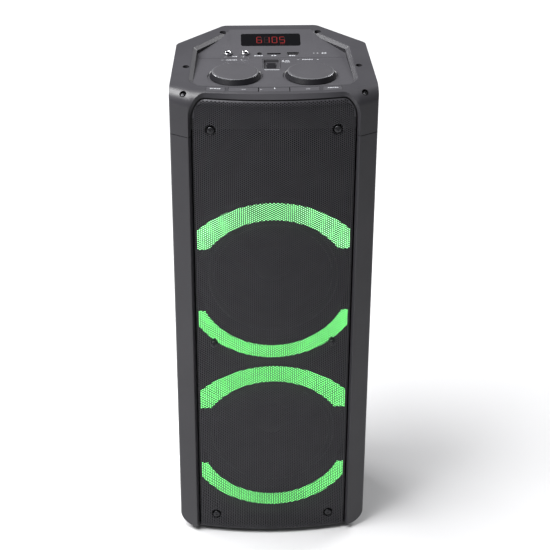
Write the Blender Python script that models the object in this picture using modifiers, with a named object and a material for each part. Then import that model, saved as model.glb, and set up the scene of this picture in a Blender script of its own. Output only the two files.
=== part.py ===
"""Party speaker: a tall cabinet with two woofers behind one wrap-over grille.

Frame: X to the right, -Y to the front, +Z up, origin at the centre of the
footprint, on the surface that the feet stand on. Every length below is in
millimetres and becomes metres in the meshes.
"""

import math

import bmesh
import bpy
from mathutils import Matrix, Vector

MM = 0.001
GAP = 0.3  # clearance between pieces that touch on the real object

# Cabinet
FOOT_H = 8.0
BASE_Z = 8.0
SEAM_Z = 656.0
TOP_Z = 718.0
WALL = 4.5
CORNER = (135.0, -90.0)  # outer front corner of a pillar
CREASE = (111.0, -103.0)  # front edge of a pillar, where its bevel starts
LIP = (107.5, -98.0)  # inner edge of that bevel
BOW_Y = -110.5  # middle of the bowed shoulder
SIDE_REAR = (127.0, 50.5)
REAR = (63.5, 110.0)
REAR_R = 12.0
SPLIT_Y = -30.0  # front frame ends, rear shell starts
SHOULDER_R = 20.0
BOTTOM_R = 20.0
FLOOR_T = 5.0
BAFFLE = (-80.0, -72.0)

# Grille
GRILLE_W = 105.5
GRILLE_Y = -110.0
GRILLE_BOW = 11.0
GRILLE_T = 1.2
GRILLE_Z = (8.5, 708.0)
GRILLE_R = 17.0
GRILLE_BEND_Z = 696.5
CORNER_RX, CORNER_RZ = 18.0, 30.0
SCREW_X = 82.0
SCREW_Z = (666.0, 336.0, 32.5)
DISH_R, DISH_D = 8.5, 3.0

# Deck
DECK_FRONT, DECK_CREASE, DECK_REAR = -62.0, 30.0, 96.0
DECK_STEP, DECK_DROP = 4.0, 11.0  # depth below the rim at the front and at the crease
RAMP = (-84.2, -74.0)  # the deck climbs to the shoulder between these, at the middle of the bow
DECK_T = 4.0
RECESS = [(60.0, -92.0), (92.0, -76.0), (104.5, -61.0), (99.5, 38.0), (49.0, 94.0)]
RECESS += [(-x, y) for x, y in reversed(RECESS)]
KNOB_X, KNOB_Y = 49.3, -38.5
KNOB_R, KNOB_TOP_R, KNOB_H = 33.8, 30.7, 7.5
KNOB_DISH_R, KNOB_DISH_D = 36.4, 1.2
JACK_Y = 38.0
MIC_X = (-58.3, -35.2)
JACK_BORE_R = 3.25
POCKET = (-0.7, 5.0, 24.0, 36.0)  # power pocket: centre x, centre y, width, length
ROCKER_TILT = 8.0
WINDOW = (80.0, 29.0, 71.0)  # width, length, centre y
KEY_TRAVEL = 0.8

# Drivers and light guides
WOOFER_Z = (432.1, 169.7)
FLANGE_R = 103.8
WOOFER_STEPS = 24
CUTOUT_R = 93.0
GUIDE_R = (104.3, 123.7)
GUIDE_X, GUIDE_DZ = 102.0, 48.0
GUIDE_Y = (-97.5, -80.3)

# Rear
PORT_Z, PORT_R, PORT_LEN = 294.0, 27.0, 72.0
PLATE = (98.0, 64.0, 96.0)  # connector plate: width, height, centre z
INLET = (26.0, 18.0)

for old in list(bpy.data.objects):
    bpy.data.objects.remove(old, do_unlink=True)

scene = bpy.context.scene
PARTS = bpy.data.collections.new("party_speaker")
CUTTERS = bpy.data.collections.new("cutters")
scene.collection.children.link(PARTS)
scene.collection.children.link(CUTTERS)

ALONG_X = Matrix(((0, 0, 1, 0), (1, 0, 0, 0), (0, 1, 0, 0), (0, 0, 0, 1)))  # a YZ outline, thick along X
ALONG_Y = Matrix(((1, 0, 0, 0), (0, 0, -1, 0), (0, 1, 0, 0), (0, 0, 0, 1)))  # an XZ outline, thick along Y
TURN_Y = Matrix(((1, 0, 0, 0), (0, 0, -1, 0), (0, 1, 0, 0), (0, 0, 0, 1)))  # a turned axis pointing to the front


# ---------------------------------------------------------------- helpers


def material(name, colour, roughness, metallic=0.0, glow=0.0):
    made = bpy.data.materials.new(name)
    made.use_nodes = True
    shader = made.node_tree.nodes["Principled BSDF"]
    shader.inputs["Base Color"].default_value = (*colour, 1.0)
    shader.inputs["Roughness"].default_value = roughness
    shader.inputs["Metallic"].default_value = metallic
    if glow:
        shader.inputs["Emission Color"].default_value = (*colour, 1.0)
        shader.inputs["Emission Strength"].default_value = glow
    return made


def at(x=0.0, y=0.0, z=0.0):
    return Matrix.Translation((x * MM, y * MM, z * MM))


def tilt_x(degrees):
    return Matrix.Rotation(math.radians(degrees), 4, "X")


def place(mesh, name, finish=None, frame=None):
    """A mesh as an object, a part if it has a material and a cutter if it has none."""
    obj = bpy.data.objects.new(name, mesh)
    if frame is not None:
        obj.matrix_world = frame
    if finish is None:
        CUTTERS.objects.link(obj)
        obj.hide_render = True
        obj.display_type = "WIRE"
    else:
        PARTS.objects.link(obj)
        mesh.materials.clear()
        mesh.materials.append(finish)
    return obj


def smooth(obj, degrees=35):
    obj.data.shade_smooth()
    obj.data.set_sharp_from_angle(angle=math.radians(degrees))
    return obj


def outline_mesh(name, points, thickness, frame=None):
    """A flat outline given thickness either side of its plane, as a welded mesh."""
    curve = bpy.data.curves.new(name, "CURVE")
    curve.dimensions = "2D"
    curve.fill_mode = "BOTH"
    curve.extrude = thickness * MM / 2
    spline = curve.splines.new("POLY")
    spline.points.add(len(points) - 1)
    for point, (x, y) in zip(spline.points, points):
        point.co = (x * MM, y * MM, 0.0, 1.0)
    spline.use_cyclic_u = True
    guide = bpy.data.objects.new(name, curve)
    scene.collection.objects.link(guide)
    graph = bpy.context.evaluated_depsgraph_get()
    mesh = bpy.data.meshes.new_from_object(guide.evaluated_get(graph))
    bpy.data.objects.remove(guide, do_unlink=True)
    shape = bmesh.new()
    shape.from_mesh(mesh)
    bmesh.ops.remove_doubles(shape, verts=shape.verts, dist=0.000005)
    bmesh.ops.dissolve_limit(shape, angle_limit=0.0005, verts=shape.verts, edges=shape.edges)
    bmesh.ops.recalc_face_normals(shape, faces=shape.faces)
    if frame is not None:
        bmesh.ops.transform(shape, matrix=frame, verts=shape.verts)
    shape.to_mesh(mesh)
    shape.free()
    mesh.name = name
    return mesh


def slab(name, points, z0, z1, finish=None, frame=None):
    """A plan outline between two heights."""
    mesh = outline_mesh(name, points, z1 - z0, at(0, 0, (z0 + z1) / 2))
    return place(mesh, name, finish, frame)


def box(name, size, centre, finish=None, frame=None, edge=0.0):
    shape = bmesh.new()
    bmesh.ops.create_cube(shape, size=1.0)
    bmesh.ops.scale(shape, vec=[s * MM for s in size], verts=shape.verts)
    if edge:
        bmesh.ops.bevel(shape, geom=shape.edges, offset=edge * MM, segments=2, profile=0.5, affect="EDGES")
    bmesh.ops.translate(shape, vec=[c * MM for c in centre], verts=shape.verts)
    mesh = bpy.data.meshes.new(name)
    shape.to_mesh(mesh)
    shape.free()
    return place(mesh, name, finish, frame)


def drum(name, radius, z0, z1, finish=None, frame=None, segments=24):
    shape = bmesh.new()
    bmesh.ops.create_cone(shape, cap_ends=True, segments=segments, radius1=radius * MM, radius2=radius * MM, depth=(z1 - z0) * MM)
    bmesh.ops.translate(shape, vec=(0, 0, (z0 + z1) / 2 * MM), verts=shape.verts)
    mesh = bpy.data.meshes.new(name)
    shape.to_mesh(mesh)
    shape.free()
    return place(mesh, name, finish, frame)


def turned(name, profile, finish=None, frame=None, steps=24, ring=False):
    """A profile of (radius, height), running down its outer side, swept about Z."""
    mesh = bpy.data.meshes.new(name)
    verts = [(r * MM, 0.0, z * MM) for r, z in profile]
    edges = [(i, i + 1) for i in range(len(verts) - 1)]
    if ring:
        edges.append((len(verts) - 1, 0))
    mesh.from_pydata(verts, edges, [])
    obj = place(mesh, name, finish, frame)
    screw = obj.modifiers.new("turn", "SCREW")
    screw.axis = "Z"
    screw.steps = screw.render_steps = steps
    screw.use_merge_vertices = True
    screw.merge_threshold = 0.00005
    screw.use_smooth_shade = True
    return obj


def combine(obj, other, operation):
    change = obj.modifiers.new(other.name, "BOOLEAN")
    change.operation = operation
    change.solver = "EXACT"
    change.object = other
    return obj


def cut(obj, *cutters):
    for cutter in cutters:
        combine(obj, cutter, "DIFFERENCE")
    return obj


def join(obj, *others):
    for other in others:
        combine(obj, other, "UNION")
    return obj


def rounded(points, radii, steps=4):
    """The outline with each corner of a stated radius replaced by an arc."""
    made = []
    count = len(points)
    for i, (corner, radius) in enumerate(zip(points, radii)):
        if not radius:
            made.append(corner)
            continue
        here = Vector(corner)
        back = (Vector(points[i - 1]) - here).normalized()
        ahead = (Vector(points[(i + 1) % count]) - here).normalized()
        half = back.angle(ahead) / 2
        centre = here + (back + ahead).normalized() * (radius / math.sin(half))
        start = here + back * (radius / math.tan(half)) - centre
        end = here + ahead * (radius / math.tan(half)) - centre
        sweep = start.angle_signed(end)
        for step in range(steps + 1):
            turn = Matrix.Rotation(-sweep * step / steps, 2)
            made.append(tuple(centre + turn @ start))
    return made


def corner_waste(centre, radius, first, last, steps, reach=40.0):
    """What a rounded corner removes: outside an arc from one direction to the next, in degrees."""
    way = [Vector((math.cos(math.radians(a)), math.sin(math.radians(a)))) for a in (first, last)]
    middle = Vector(centre)
    arc = []
    for i in range(steps + 1):
        angle = math.radians(first + (last - first) * i / steps)
        arc.append(middle + radius * Vector((math.cos(angle), math.sin(angle))))
    start, end = 2 * arc[0] - arc[1], 2 * arc[-1] - arc[-2]
    outside = [end + reach * way[1], middle + (reach + radius) * (way[0] + way[1]), start + reach * way[0]]
    return [tuple(p) for p in [start, *arc[1:-1], end, *outside]]


def mirrored(points):
    """An outline from its right half, which runs from the middle outwards and round to the middle."""
    return points + [(-x, y) for x, y in reversed(points) if x != 0]


def front_y(x):
    a = abs(x)
    if a <= CREASE[0]:
        return BOW_Y + (CREASE[1] - BOW_Y) * (a / CREASE[0]) ** 2
    return CREASE[1] + (CORNER[1] - CREASE[1]) * (a - CREASE[0]) / (CORNER[0] - CREASE[0])


def shoulder_y(x, z):
    """The cover's outer surface at a height, from its front face over its shoulder."""
    rise = max(0.0, z - (TOP_Z - SHOULDER_R))
    return front_y(x) + SHOULDER_R - math.sqrt(SHOULDER_R**2 - rise**2)


def grille_y(x, z=0.0):
    rise = max(0.0, z - GRILLE_BEND_Z)
    return GRILLE_Y + GRILLE_BOW * (x / GRILLE_W) ** 2 + GRILLE_R - math.sqrt(GRILLE_R**2 - rise**2)


def deck_z(y):
    if y <= DECK_CREASE:
        return TOP_Z - DECK_STEP - (DECK_DROP - DECK_STEP) * (y - DECK_FRONT) / (DECK_CREASE - DECK_FRONT)
    return TOP_Z - DECK_DROP * (DECK_REAR - y) / (DECK_REAR - DECK_CREASE)


def side_x(y):
    """The cabinet's side, which tapers to the rear."""
    return CORNER[0] + (SIDE_REAR[0] - CORNER[0]) * (y - CORNER[1]) / (SIDE_REAR[1] - CORNER[1])


FRONT_TILT = -math.degrees(math.atan((DECK_DROP - DECK_STEP) / (DECK_CREASE - DECK_FRONT)))
REAR_TILT = math.degrees(math.atan(DECK_DROP / (DECK_REAR - DECK_CREASE)))


def on_deck(x, y):
    """A frame on the deck's surface, its Z along the deck's normal."""
    return at(x, y, deck_z(y)) @ tilt_x(FRONT_TILT if y < DECK_CREASE else REAR_TILT)


BOW_COLUMNS = [-111, -88, -66, -44, -22, 0, 22, 44, 66, 88, 111]

# ---------------------------------------------------------------- finishes

shell_grey = material("shell_grey_plastic", (0.078, 0.076, 0.084), 0.45)
deck_grey = material("deck_grey_plastic", (0.145, 0.143, 0.158), 0.42)
grille_black = material("grille_black_steel", (0.028, 0.027, 0.031), 0.45, 0.6)
dark_plastic = material("dark_plastic", (0.012, 0.011, 0.014), 0.4)
screw_steel = material("blackened_screw_steel", (0.05, 0.05, 0.052), 0.35, 0.9)
guide_green = material("green_light_guide", (0.16, 0.67, 0.19), 0.4, glow=1.5)
basket_steel = material("stamped_basket_steel", (0.03, 0.03, 0.032), 0.5, 0.7)
magnet_grey = material("ferrite_magnet", (0.06, 0.06, 0.065), 0.6, 0.3)
soft_rubber = material("rubber", (0.012, 0.012, 0.013), 0.8)
cone_paper = material("black_paper_cone", (0.015, 0.015, 0.016), 0.75)
window_black = material("smoked_window", (0.012, 0.012, 0.014), 0.12)
chrome = material("chrome", (0.7, 0.7, 0.72), 0.15, 1.0)
port_steel = material("port_steel", (0.35, 0.35, 0.36), 0.35, 1.0)
board_green = material("circuit_board", (0.02, 0.12, 0.06), 0.5)
battery_blue = material("battery_wrap", (0.03, 0.06, 0.16), 0.45)

# ---------------------------------------------------------------- top cover

front_path = [(CORNER[0], CORNER[1])] + [(float(x), front_y(x)) for x in reversed(BOW_COLUMNS)] + [(-CORNER[0], CORNER[1])]
back_path = [(-SIDE_REAR[0], SIDE_REAR[1]), (-REAR[0], REAR[1]), (REAR[0], REAR[1]), (SIDE_REAR[0], SIDE_REAR[1])]
plan = rounded(
    front_path + back_path,
    [4.0] + [0.0] * len(BOW_COLUMNS) + [4.0] + [REAR_R] * 4,
    3,
)
top_cover = slab("top_cover", plan, SEAM_Z, TOP_Z, shell_grey)

# The rounded shoulder: the waste outside its arc, cut into columns and bent to the bow.
waste = bmesh.new()
waste.from_mesh(
    outline_mesh("shoulder_waste", corner_waste((SHOULDER_R, TOP_Z - SHOULDER_R), SHOULDER_R, 180, 90, 7), 290.0, ALONG_X)
)
for column in BOW_COLUMNS:
    bmesh.ops.bisect_plane(waste, geom=waste.verts[:] + waste.edges[:] + waste.faces[:], plane_co=(column * MM, 0, 0), plane_no=(1, 0, 0))
for vert in waste.verts:
    vert.co.y += front_y(vert.co.x / MM) * MM
shoulder_mesh = bpy.data.meshes.new("shoulder_waste")
waste.to_mesh(shoulder_mesh)
waste.free()
cut(top_cover, place(shoulder_mesh, "shoulder_waste"))


def arch(half_width, top, rx, rz, low, steps=6):
    """The right half of the opening's front outline, from the bottom up and in to the middle."""
    points = [(half_width, low)]
    for i in range(steps + 1):
        angle = math.pi / 2 * i / steps
        points.append((half_width - rx + rx * math.cos(angle), top - rz + rz * math.sin(angle)))
    return points


# The opening that the grille sits in, straight back to the baffle's plane.
OPENING_TOP = 709.4
inner = arch(LIP[0], OPENING_TOP, CORNER_RX, CORNER_RZ, 640.0)
opening = place(
    outline_mesh("opening_cutter", inner + [(-x, z) for x, z in reversed(inner)], 70.0, at(0, -115.0, 0) @ ALONG_Y),
    "opening_cutter",
)

# Its bevelled lip: a wedge swept up one side, across the top and down the other.
outer = arch(CREASE[0], TOP_Z - SHOULDER_R + SHOULDER_R * math.cos(math.radians(28)), CORNER_RX + 3.5, 32.7, 640.0)


def lip_stations():
    right = []
    for (ix, iz), (ox, oz) in zip(inner, outer):
        depth = LIP[1] if iz < 660 else min(grille_y(ix, iz), LIP[1] + 0.0) if ix > 100 else grille_y(ix, iz)
        right.append((Vector((ix, depth, iz)), Vector((ox, shoulder_y(ox, oz), oz))))
    across = []
    for x in (66.0, 44.0, 22.0, 0.0):
        across.append(
            (Vector((x, grille_y(x, OPENING_TOP), OPENING_TOP)), Vector((x, shoulder_y(x, outer[-1][1]), outer[-1][1])))
        )
    half = right + across
    flip = [(Vector((-i.x, i.y, i.z)), Vector((-o.x, o.y, o.z))) for i, o in reversed(half[:-1])]
    return half + flip


wedge = bmesh.new()
rings = []
for i_point, o_point in lip_stations():
    out = o_point - i_point
    corners = [i_point - out * 0.12, o_point + out * 0.5]
    corners += [corners[1] + Vector((0, -30, 0)), corners[0] + Vector((0, -30, 0))]
    rings.append([wedge.verts.new(c * MM) for c in corners])
for a, b in zip(rings, rings[1:]):
    for k in range(4):
        wedge.faces.new((a[k], a[(k + 1) % 4], b[(k + 1) % 4], b[k]))
wedge.faces.new(rings[0])
wedge.faces.new(list(reversed(rings[-1])))
bmesh.ops.triangulate(wedge, faces=wedge.faces)
bmesh.ops.recalc_face_normals(wedge, faces=wedge.faces)
wedge_mesh = bpy.data.meshes.new("lip_wedge")
wedge.to_mesh(wedge_mesh)
wedge.free()
cut(top_cover, opening, place(wedge_mesh, "lip_wedge"))

# Hollow inside: a tall lower space, and a shallow one that follows the deck.
cover_hollow = [
    (111.5, -76.0),
    (113.5, -93.0),
    (130.0, -85.0),
    (SIDE_REAR[0] - WALL - 0.4, SIDE_REAR[1] - 2.0),
    (REAR[0] - 2.0, REAR[1] - WALL),
]
hollow_plan = cover_hollow + [(-x, y) for x, y in reversed(cover_hollow)]
cut(top_cover, slab("cover_hollow", hollow_plan, 640.0, 700.0))
under_deck = place(
    outline_mesh(
        "under_deck",
        [
            (-72.0, 697.0),
            (-72.0, deck_z(-72.0) - DECK_T),
            (DECK_CREASE, TOP_Z - DECK_DROP - DECK_T),
            (90.0, deck_z(90.0) - DECK_T),
            (90.0, 697.0),
        ],
        260.0,
        ALONG_X,
    ),
    "under_deck",
)
combine(under_deck, slab("under_deck_plan", [(102, -74), (97, 37), (48.5, 91), (-48.5, 91), (-97, 37), (-102, -74)], 680.0, 730.0), "INTERSECT")
cut(top_cover, under_deck)

# The recess above the deck: straight walls with a bevel round the rim, floored by the shallow V of the deck.


def grown(points, by):
    """An outline moved outwards by a distance, for a convex polygon that runs anticlockwise."""
    made = []
    for i, corner in enumerate(points):
        here, last, ahead = Vector(corner), Vector(points[i - 1]), Vector(points[(i + 1) % len(points)])
        a, b = (here - last).normalized(), (ahead - here).normalized()
        na, nb = Vector((a.y, -a.x)), Vector((b.y, -b.x))
        bisector = (na + nb).normalized()
        made.append(tuple(here + bisector * (by / bisector.dot(na))))
    return made


BEVEL, BEVEL_W = 4.0, 5.3
recess = bmesh.new()
levels = []
for z, by in ((695.0, 0.0), (TOP_Z - BEVEL, 0.0), (TOP_Z, BEVEL_W), (TOP_Z + 8.0, 3 * BEVEL_W)):
    levels.append([recess.verts.new((x * MM, y * MM, z * MM)) for x, y in grown(RECESS, by)])
for low, high in zip(levels, levels[1:]):
    for i in range(len(low)):
        j = (i + 1) % len(low)
        recess.faces.new((low[i], low[j], high[j], high[i]))
recess.faces.new(list(reversed(levels[0])))
recess.faces.new(levels[-1])
bmesh.ops.recalc_face_normals(recess, faces=recess.faces)
recess_mesh = bpy.data.meshes.new("recess_cutter")
recess.to_mesh(recess_mesh)
recess.free()
recess_cutter = place(recess_mesh, "recess_cutter")
above = bmesh.new()
slices = []
for x in (-150, *BOW_COLUMNS, 150):
    shift = front_y(max(-111.0, min(111.0, x))) - BOW_Y
    line = [(-130.0, TOP_Z + 16.0), (RAMP[0] + shift, TOP_Z + 0.4), (RAMP[1] + shift, deck_z(RAMP[1] + shift))]
    line += [(DECK_CREASE, TOP_Z - DECK_DROP), (DECK_REAR + 40.0, TOP_Z + DECK_DROP * 40.0 / (DECK_REAR - DECK_CREASE))]
    line += [(DECK_REAR + 40.0, TOP_Z + 30.0), (-130.0, TOP_Z + 30.0)]
    slices.append([above.verts.new((x * MM, y * MM, z * MM)) for y, z in line])
for near, far in zip(slices, slices[1:]):
    for i in range(len(near)):
        j = (i + 1) % len(near)
        above.faces.new((near[i], near[j], far[j], far[i]))
above.faces.new(slices[0])
above.faces.new(list(reversed(slices[-1])))
bmesh.ops.recalc_face_normals(above, faces=above.faces)
above_mesh = bpy.data.meshes.new("above_deck")
above.to_mesh(above_mesh)
above.free()
above_deck = place(above_mesh, "above_deck")
combine(recess_cutter, above_deck, "INTERSECT")
cut(top_cover, recess_cutter)

# Knob dishes and shaft holes.
for side, word in ((-1, "left"), (1, "right")):
    spot = on_deck(side * KNOB_X, KNOB_Y)
    cut(top_cover, drum(f"dish_{word}", KNOB_DISH_R, -KNOB_DISH_D, 6.0, frame=spot, segments=32))
    cut(top_cover, drum(f"shaft_hole_{word}", 4.2, -12.0, 4.0, frame=spot, segments=16))

# Power pocket, display window and sockets.
pocket_frame = on_deck(POCKET[0], POCKET[1])
window_frame = on_deck(0.0, WINDOW[2])
cut(top_cover, box("pocket_hole", (POCKET[2], POCKET[3], 30.0), (0, 0, 0), frame=pocket_frame))
cut(top_cover, box("window_seat", (WINDOW[0] + 0.6, WINDOW[1] + 0.6, 10.0), (0, 0, 5.0 - 1.6), frame=window_frame))
cut(top_cover, box("window_hole", (WINDOW[0] - 8.0, WINDOW[1] - 7.0, 24.0), (0, 0, -4.0), frame=window_frame))
for x in MIC_X:
    cut(top_cover, drum(f"mic_hole{x}", 4.75, 690.0, 730.0, frame=at(x, JACK_Y, 0), segments=20))
cut(top_cover, drum("aux_hole", 3.3, 690.0, 730.0, frame=at(-15.9, JACK_Y, 0), segments=16))
cut(top_cover, box("card_hole", (18.6, 3.4, 40.0), (3.5, JACK_Y, 705.0)))
cut(top_cover, box("usb_hole", (16.0, 6.6, 40.0), (29.1, JACK_Y, 705.0)))

# Key slots along the shoulder's top edge.
KEYS = {
    "mode_key": (-87.0, -62.6),
    "previous_key": (-58.5, -20.3),
    "play_key": (-19.7, 19.7),
    "next_key": (20.3, 58.5),
    "echo_key": (62.6, 87.0),
}
KEY_Y = (-96.0, -85.5)  # at the middle of the bow
KEY_FLOOR = 712.2


def bow_shift(x):
    return front_y(x) - BOW_Y


def key_plan(x0, x1, inset):
    """A key's plan: its long sides follow the bow."""
    stops = [x0 + inset + (x1 - x0 - 2 * inset) * i / 2 for i in range(3)]
    near = [(x, KEY_Y[0] + bow_shift(x) + inset) for x in stops]
    far = [(x, KEY_Y[1] + bow_shift(x) - inset) for x in reversed(stops)]
    return near + far


for name, (x0, x1) in KEYS.items():
    if name in ("mode_key", "echo_key"):
        cut(top_cover, slab(f"slot_{name}", key_plan(x0, x1, 0.0), KEY_FLOOR, 730.0))
cut(
    top_cover,
    slab(
        "slot_middle",
        [(x, KEY_Y[0] + bow_shift(x)) for x in (-58.5, -39.4, -20.0, 0.0, 20.0, 39.4, 58.5)]
        + [(x, KEY_Y[1] + bow_shift(x)) for x in (58.5, 39.4, 20.0, 0.0, -20.0, -39.4, -58.5)],
        KEY_FLOOR,
        730.0,
    ),
)

# Cover screws: counterbore, clearance hole and the screw itself.
cover_screws = []
for side, word in ((-1, "left"), (1, "right")):
    cover_screws.append((f"cover_screw_rear_{word}", at(side * 64.7, 88.0, TOP_Z)))
    cover_screws.append((f"cover_screw_side_{word}", at(side * 113.4, -21.0, TOP_Z)))
    sx = side * 116.5
    sy = front_y(sx) + SHOULDER_R - SHOULDER_R * math.sin(math.radians(39))
    sz = TOP_Z - SHOULDER_R + SHOULDER_R * math.cos(math.radians(39))
    cover_screws.append((f"cover_screw_front_{word}", at(sx, sy, sz) @ tilt_x(39)))
for name, spot in cover_screws:
    cut(top_cover, drum(f"{name}_bore", 4.5, -6.5, 6.0, frame=spot, segments=20))
    cut(top_cover, drum(f"{name}_hole", 2.1, -26.0, 2.0, frame=spot, segments=12))
    turned(
        name,
        [(0, -2.9), (2.2, -3.1), (3.6, -4.0), (3.9, -5.2), (3.9, -6.2), (1.8, -6.2), (1.8, -15.0), (0, -17.0)],
        screw_steel,
        spot,
        10,
    )

# Bosses for the two upper grille screws.
boss_front = grille_y(SCREW_X) + DISH_D + GRILLE_T + GAP + 0.9
for side, word in ((-1, "left"), (1, "right")):
    spot = at(side * SCREW_X, 0, SCREW_Z[0]) @ TURN_Y
    join(top_cover, drum(f"cover_boss_{word}", 4.5, -BAFFLE[0] - 1.0, -boss_front, frame=spot, segments=16))
    cut(top_cover, drum(f"cover_pilot_{word}", 2.1, 70.0, 120.0, frame=spot, segments=12))

# ---------------------------------------------------------------- front frame

# One section: pillar, baffle, pillar. It runs from the middle of the baffle's face out round the right pillar and back.
section = [
    (0.0, BAFFLE[0]),
    (LIP[0], BAFFLE[0]),
    LIP,
    CREASE,
    (CORNER[0], CORNER[1]),
    (side_x(SPLIT_Y), SPLIT_Y),
    (side_x(SPLIT_Y) - WALL, SPLIT_Y),
    (130.3, -86.0),
    (113.5, -94.5),
    (111.5, BAFFLE[1]),
    (0.0, BAFFLE[1]),
]
half_section = rounded(section, [0, 0, 0, 0, 4.0, 0, 0, 0, 0, 0, 0], 3)
front_frame = slab(
    "front_frame",
    [p for p in half_section if p[0] > 0] + [(-x, y) for x, y in reversed(half_section) if x > 0],
    BASE_Z,
    SEAM_Z - GAP,
    shell_grey,
)
floor_half = [(0.0, grille_y(0) + 2.2), (60.0, grille_y(60) + 2.2), (90.0, grille_y(90) + 2.2), (106.0, grille_y(106) + 2.2)]
floor_half += [(111.5, -100.0), (131.0, -88.0), (127.0, SPLIT_Y), (0.0, SPLIT_Y)]
join(
    front_frame,
    slab(
        "front_floor",
        [p for p in floor_half] + [(-x, y) for x, y in reversed(floor_half) if x > 0],
        BASE_Z + 0.4,
        BASE_Z + FLOOR_T,
    ),
)
round_corner = corner_waste((CORNER[0] - BOTTOM_R, BASE_Z + BOTTOM_R), BOTTOM_R, 0, -90, 6)
bottom_right = place(outline_mesh("bottom_corner_right", round_corner, 400.0, ALONG_Y), "bottom_corner_right")
bottom_left = place(
    outline_mesh("bottom_corner_left", [(-x, z) for x, z in reversed(round_corner)], 400.0, ALONG_Y), "bottom_corner_left"
)
for side, word in ((-1, "left"), (1, "right")):
    # The floor is thicker under the rounded bottom corners.
    pad = [(side * x, y) for x, y in ((116.0, -90.0), (131.0, -88.0), (130.4, SPLIT_Y), (116.0, SPLIT_Y))]
    join(front_frame, slab(f"front_pad_{word}", pad, BASE_Z + FLOOR_T - 0.5, 19.0))
cut(front_frame, bottom_right, bottom_left)
for z in WOOFER_Z:
    cut(front_frame, drum(f"cutout_{z:.0f}", CUTOUT_R, 60.0, 95.0, frame=at(0, 0, z) @ TURN_Y, segments=32))
for row, z in enumerate(SCREW_Z[1:]):
    face = boss_front if row else grille_y(SCREW_X) + GRILLE_T + GAP + 0.9
    for side, word in ((-1, "left"), (1, "right")):
        spot = at(side * SCREW_X, 0, z) @ TURN_Y
        join(front_frame, drum(f"frame_boss_{row}_{word}", 4.0, -BAFFLE[0] - 1.0, -face, frame=spot, segments=16))
        cut(front_frame, drum(f"frame_pilot_{row}_{word}", 2.1, 70.0, 120.0, frame=spot, segments=12))

# ---------------------------------------------------------------- rear shell

rear_half = [(side_x(SPLIT_Y + GAP), SPLIT_Y + GAP), SIDE_REAR, REAR]
rear_shell = slab(
    "rear_shell",
    rounded(rear_half + [(-x, y) for x, y in reversed(rear_half)], [0, REAR_R, REAR_R, REAR_R, REAR_R, 0], 4),
    BASE_Z,
    SEAM_Z - GAP,
    shell_grey,
)
inside_half = [(side_x(-60.0) - WALL, -60.0), (SIDE_REAR[0] - WALL, SIDE_REAR[1] - 2.0), (REAR[0] - 2.0, REAR[1] - WALL)]
cut(
    rear_shell,
    slab(
        "rear_hollow",
        rounded(inside_half + [(-x, y) for x, y in reversed(inside_half)], [0, 8.0, 8.0, 8.0, 8.0, 0], 3),
        BASE_Z + FLOOR_T,
        700.0,
    ),
)
for side, word in ((-1, "left"), (1, "right")):
    pad = [(side * x, y) for x, y in ((119.0, SPLIT_Y + GAP), (side_x(SPLIT_Y + GAP) - 1.0, SPLIT_Y + GAP), (side_x(40.0) - 1.0, 40.0), (119.0, 40.0))]
    join(rear_shell, slab(f"rear_pad_{word}", pad, BASE_Z + FLOOR_T - 0.5, 17.0))
cut(rear_shell, bottom_right, bottom_left)
port_frame = at(0, REAR[1], PORT_Z) @ Matrix.Rotation(math.radians(-90), 4, "X")  # Z points out of the back
cut(rear_shell, drum("port_seat", 36.0, -3.2, 10.0, frame=port_frame, segments=24))
cut(rear_shell, drum("port_hole", 30.8, -20.0, 10.0, frame=port_frame, segments=24))
cut(rear_shell, box("plate_seat", (PLATE[0], 10.0, PLATE[1]), (0, REAR[1] + 5.0 - 2.2, PLATE[2])))
cut(rear_shell, box("plate_hole", (PLATE[0] - 10.0, 30.0, PLATE[1] - 10.0), (0, REAR[1], PLATE[2])))

connector_plate = box("connector_plate", (PLATE[0] - 0.6, 1.9, PLATE[1] - 0.6), (0, REAR[1] - 0.95, PLATE[2]), dark_plastic)
cut(connector_plate, box("inlet_hole", (INLET[0], 20.0, INLET[1]), (-25.0, REAR[1], PLATE[2])))
power_inlet = box("power_inlet", (INLET[0] - 0.6, 22.0, INLET[1] - 0.6), (-25.0, REAR[1] - 11.0, PLATE[2]), dark_plastic)
cut(power_inlet, box("inlet_socket", (19.0, 24.0, 11.0), (-25.0, REAR[1], PLATE[2])))

bass_port = turned(
    "bass_port",
    [(35.7, 0.0), (35.7, -2.9), (30.2, -3.2), (30.2, -PORT_LEN), (PORT_R, -PORT_LEN), (PORT_R, -9.0), (28.5, -4.0), (32.5, 0.0)],
    dark_plastic,
    port_frame,
    24,
    ring=True,
)

# ---------------------------------------------------------------- grille

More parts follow.
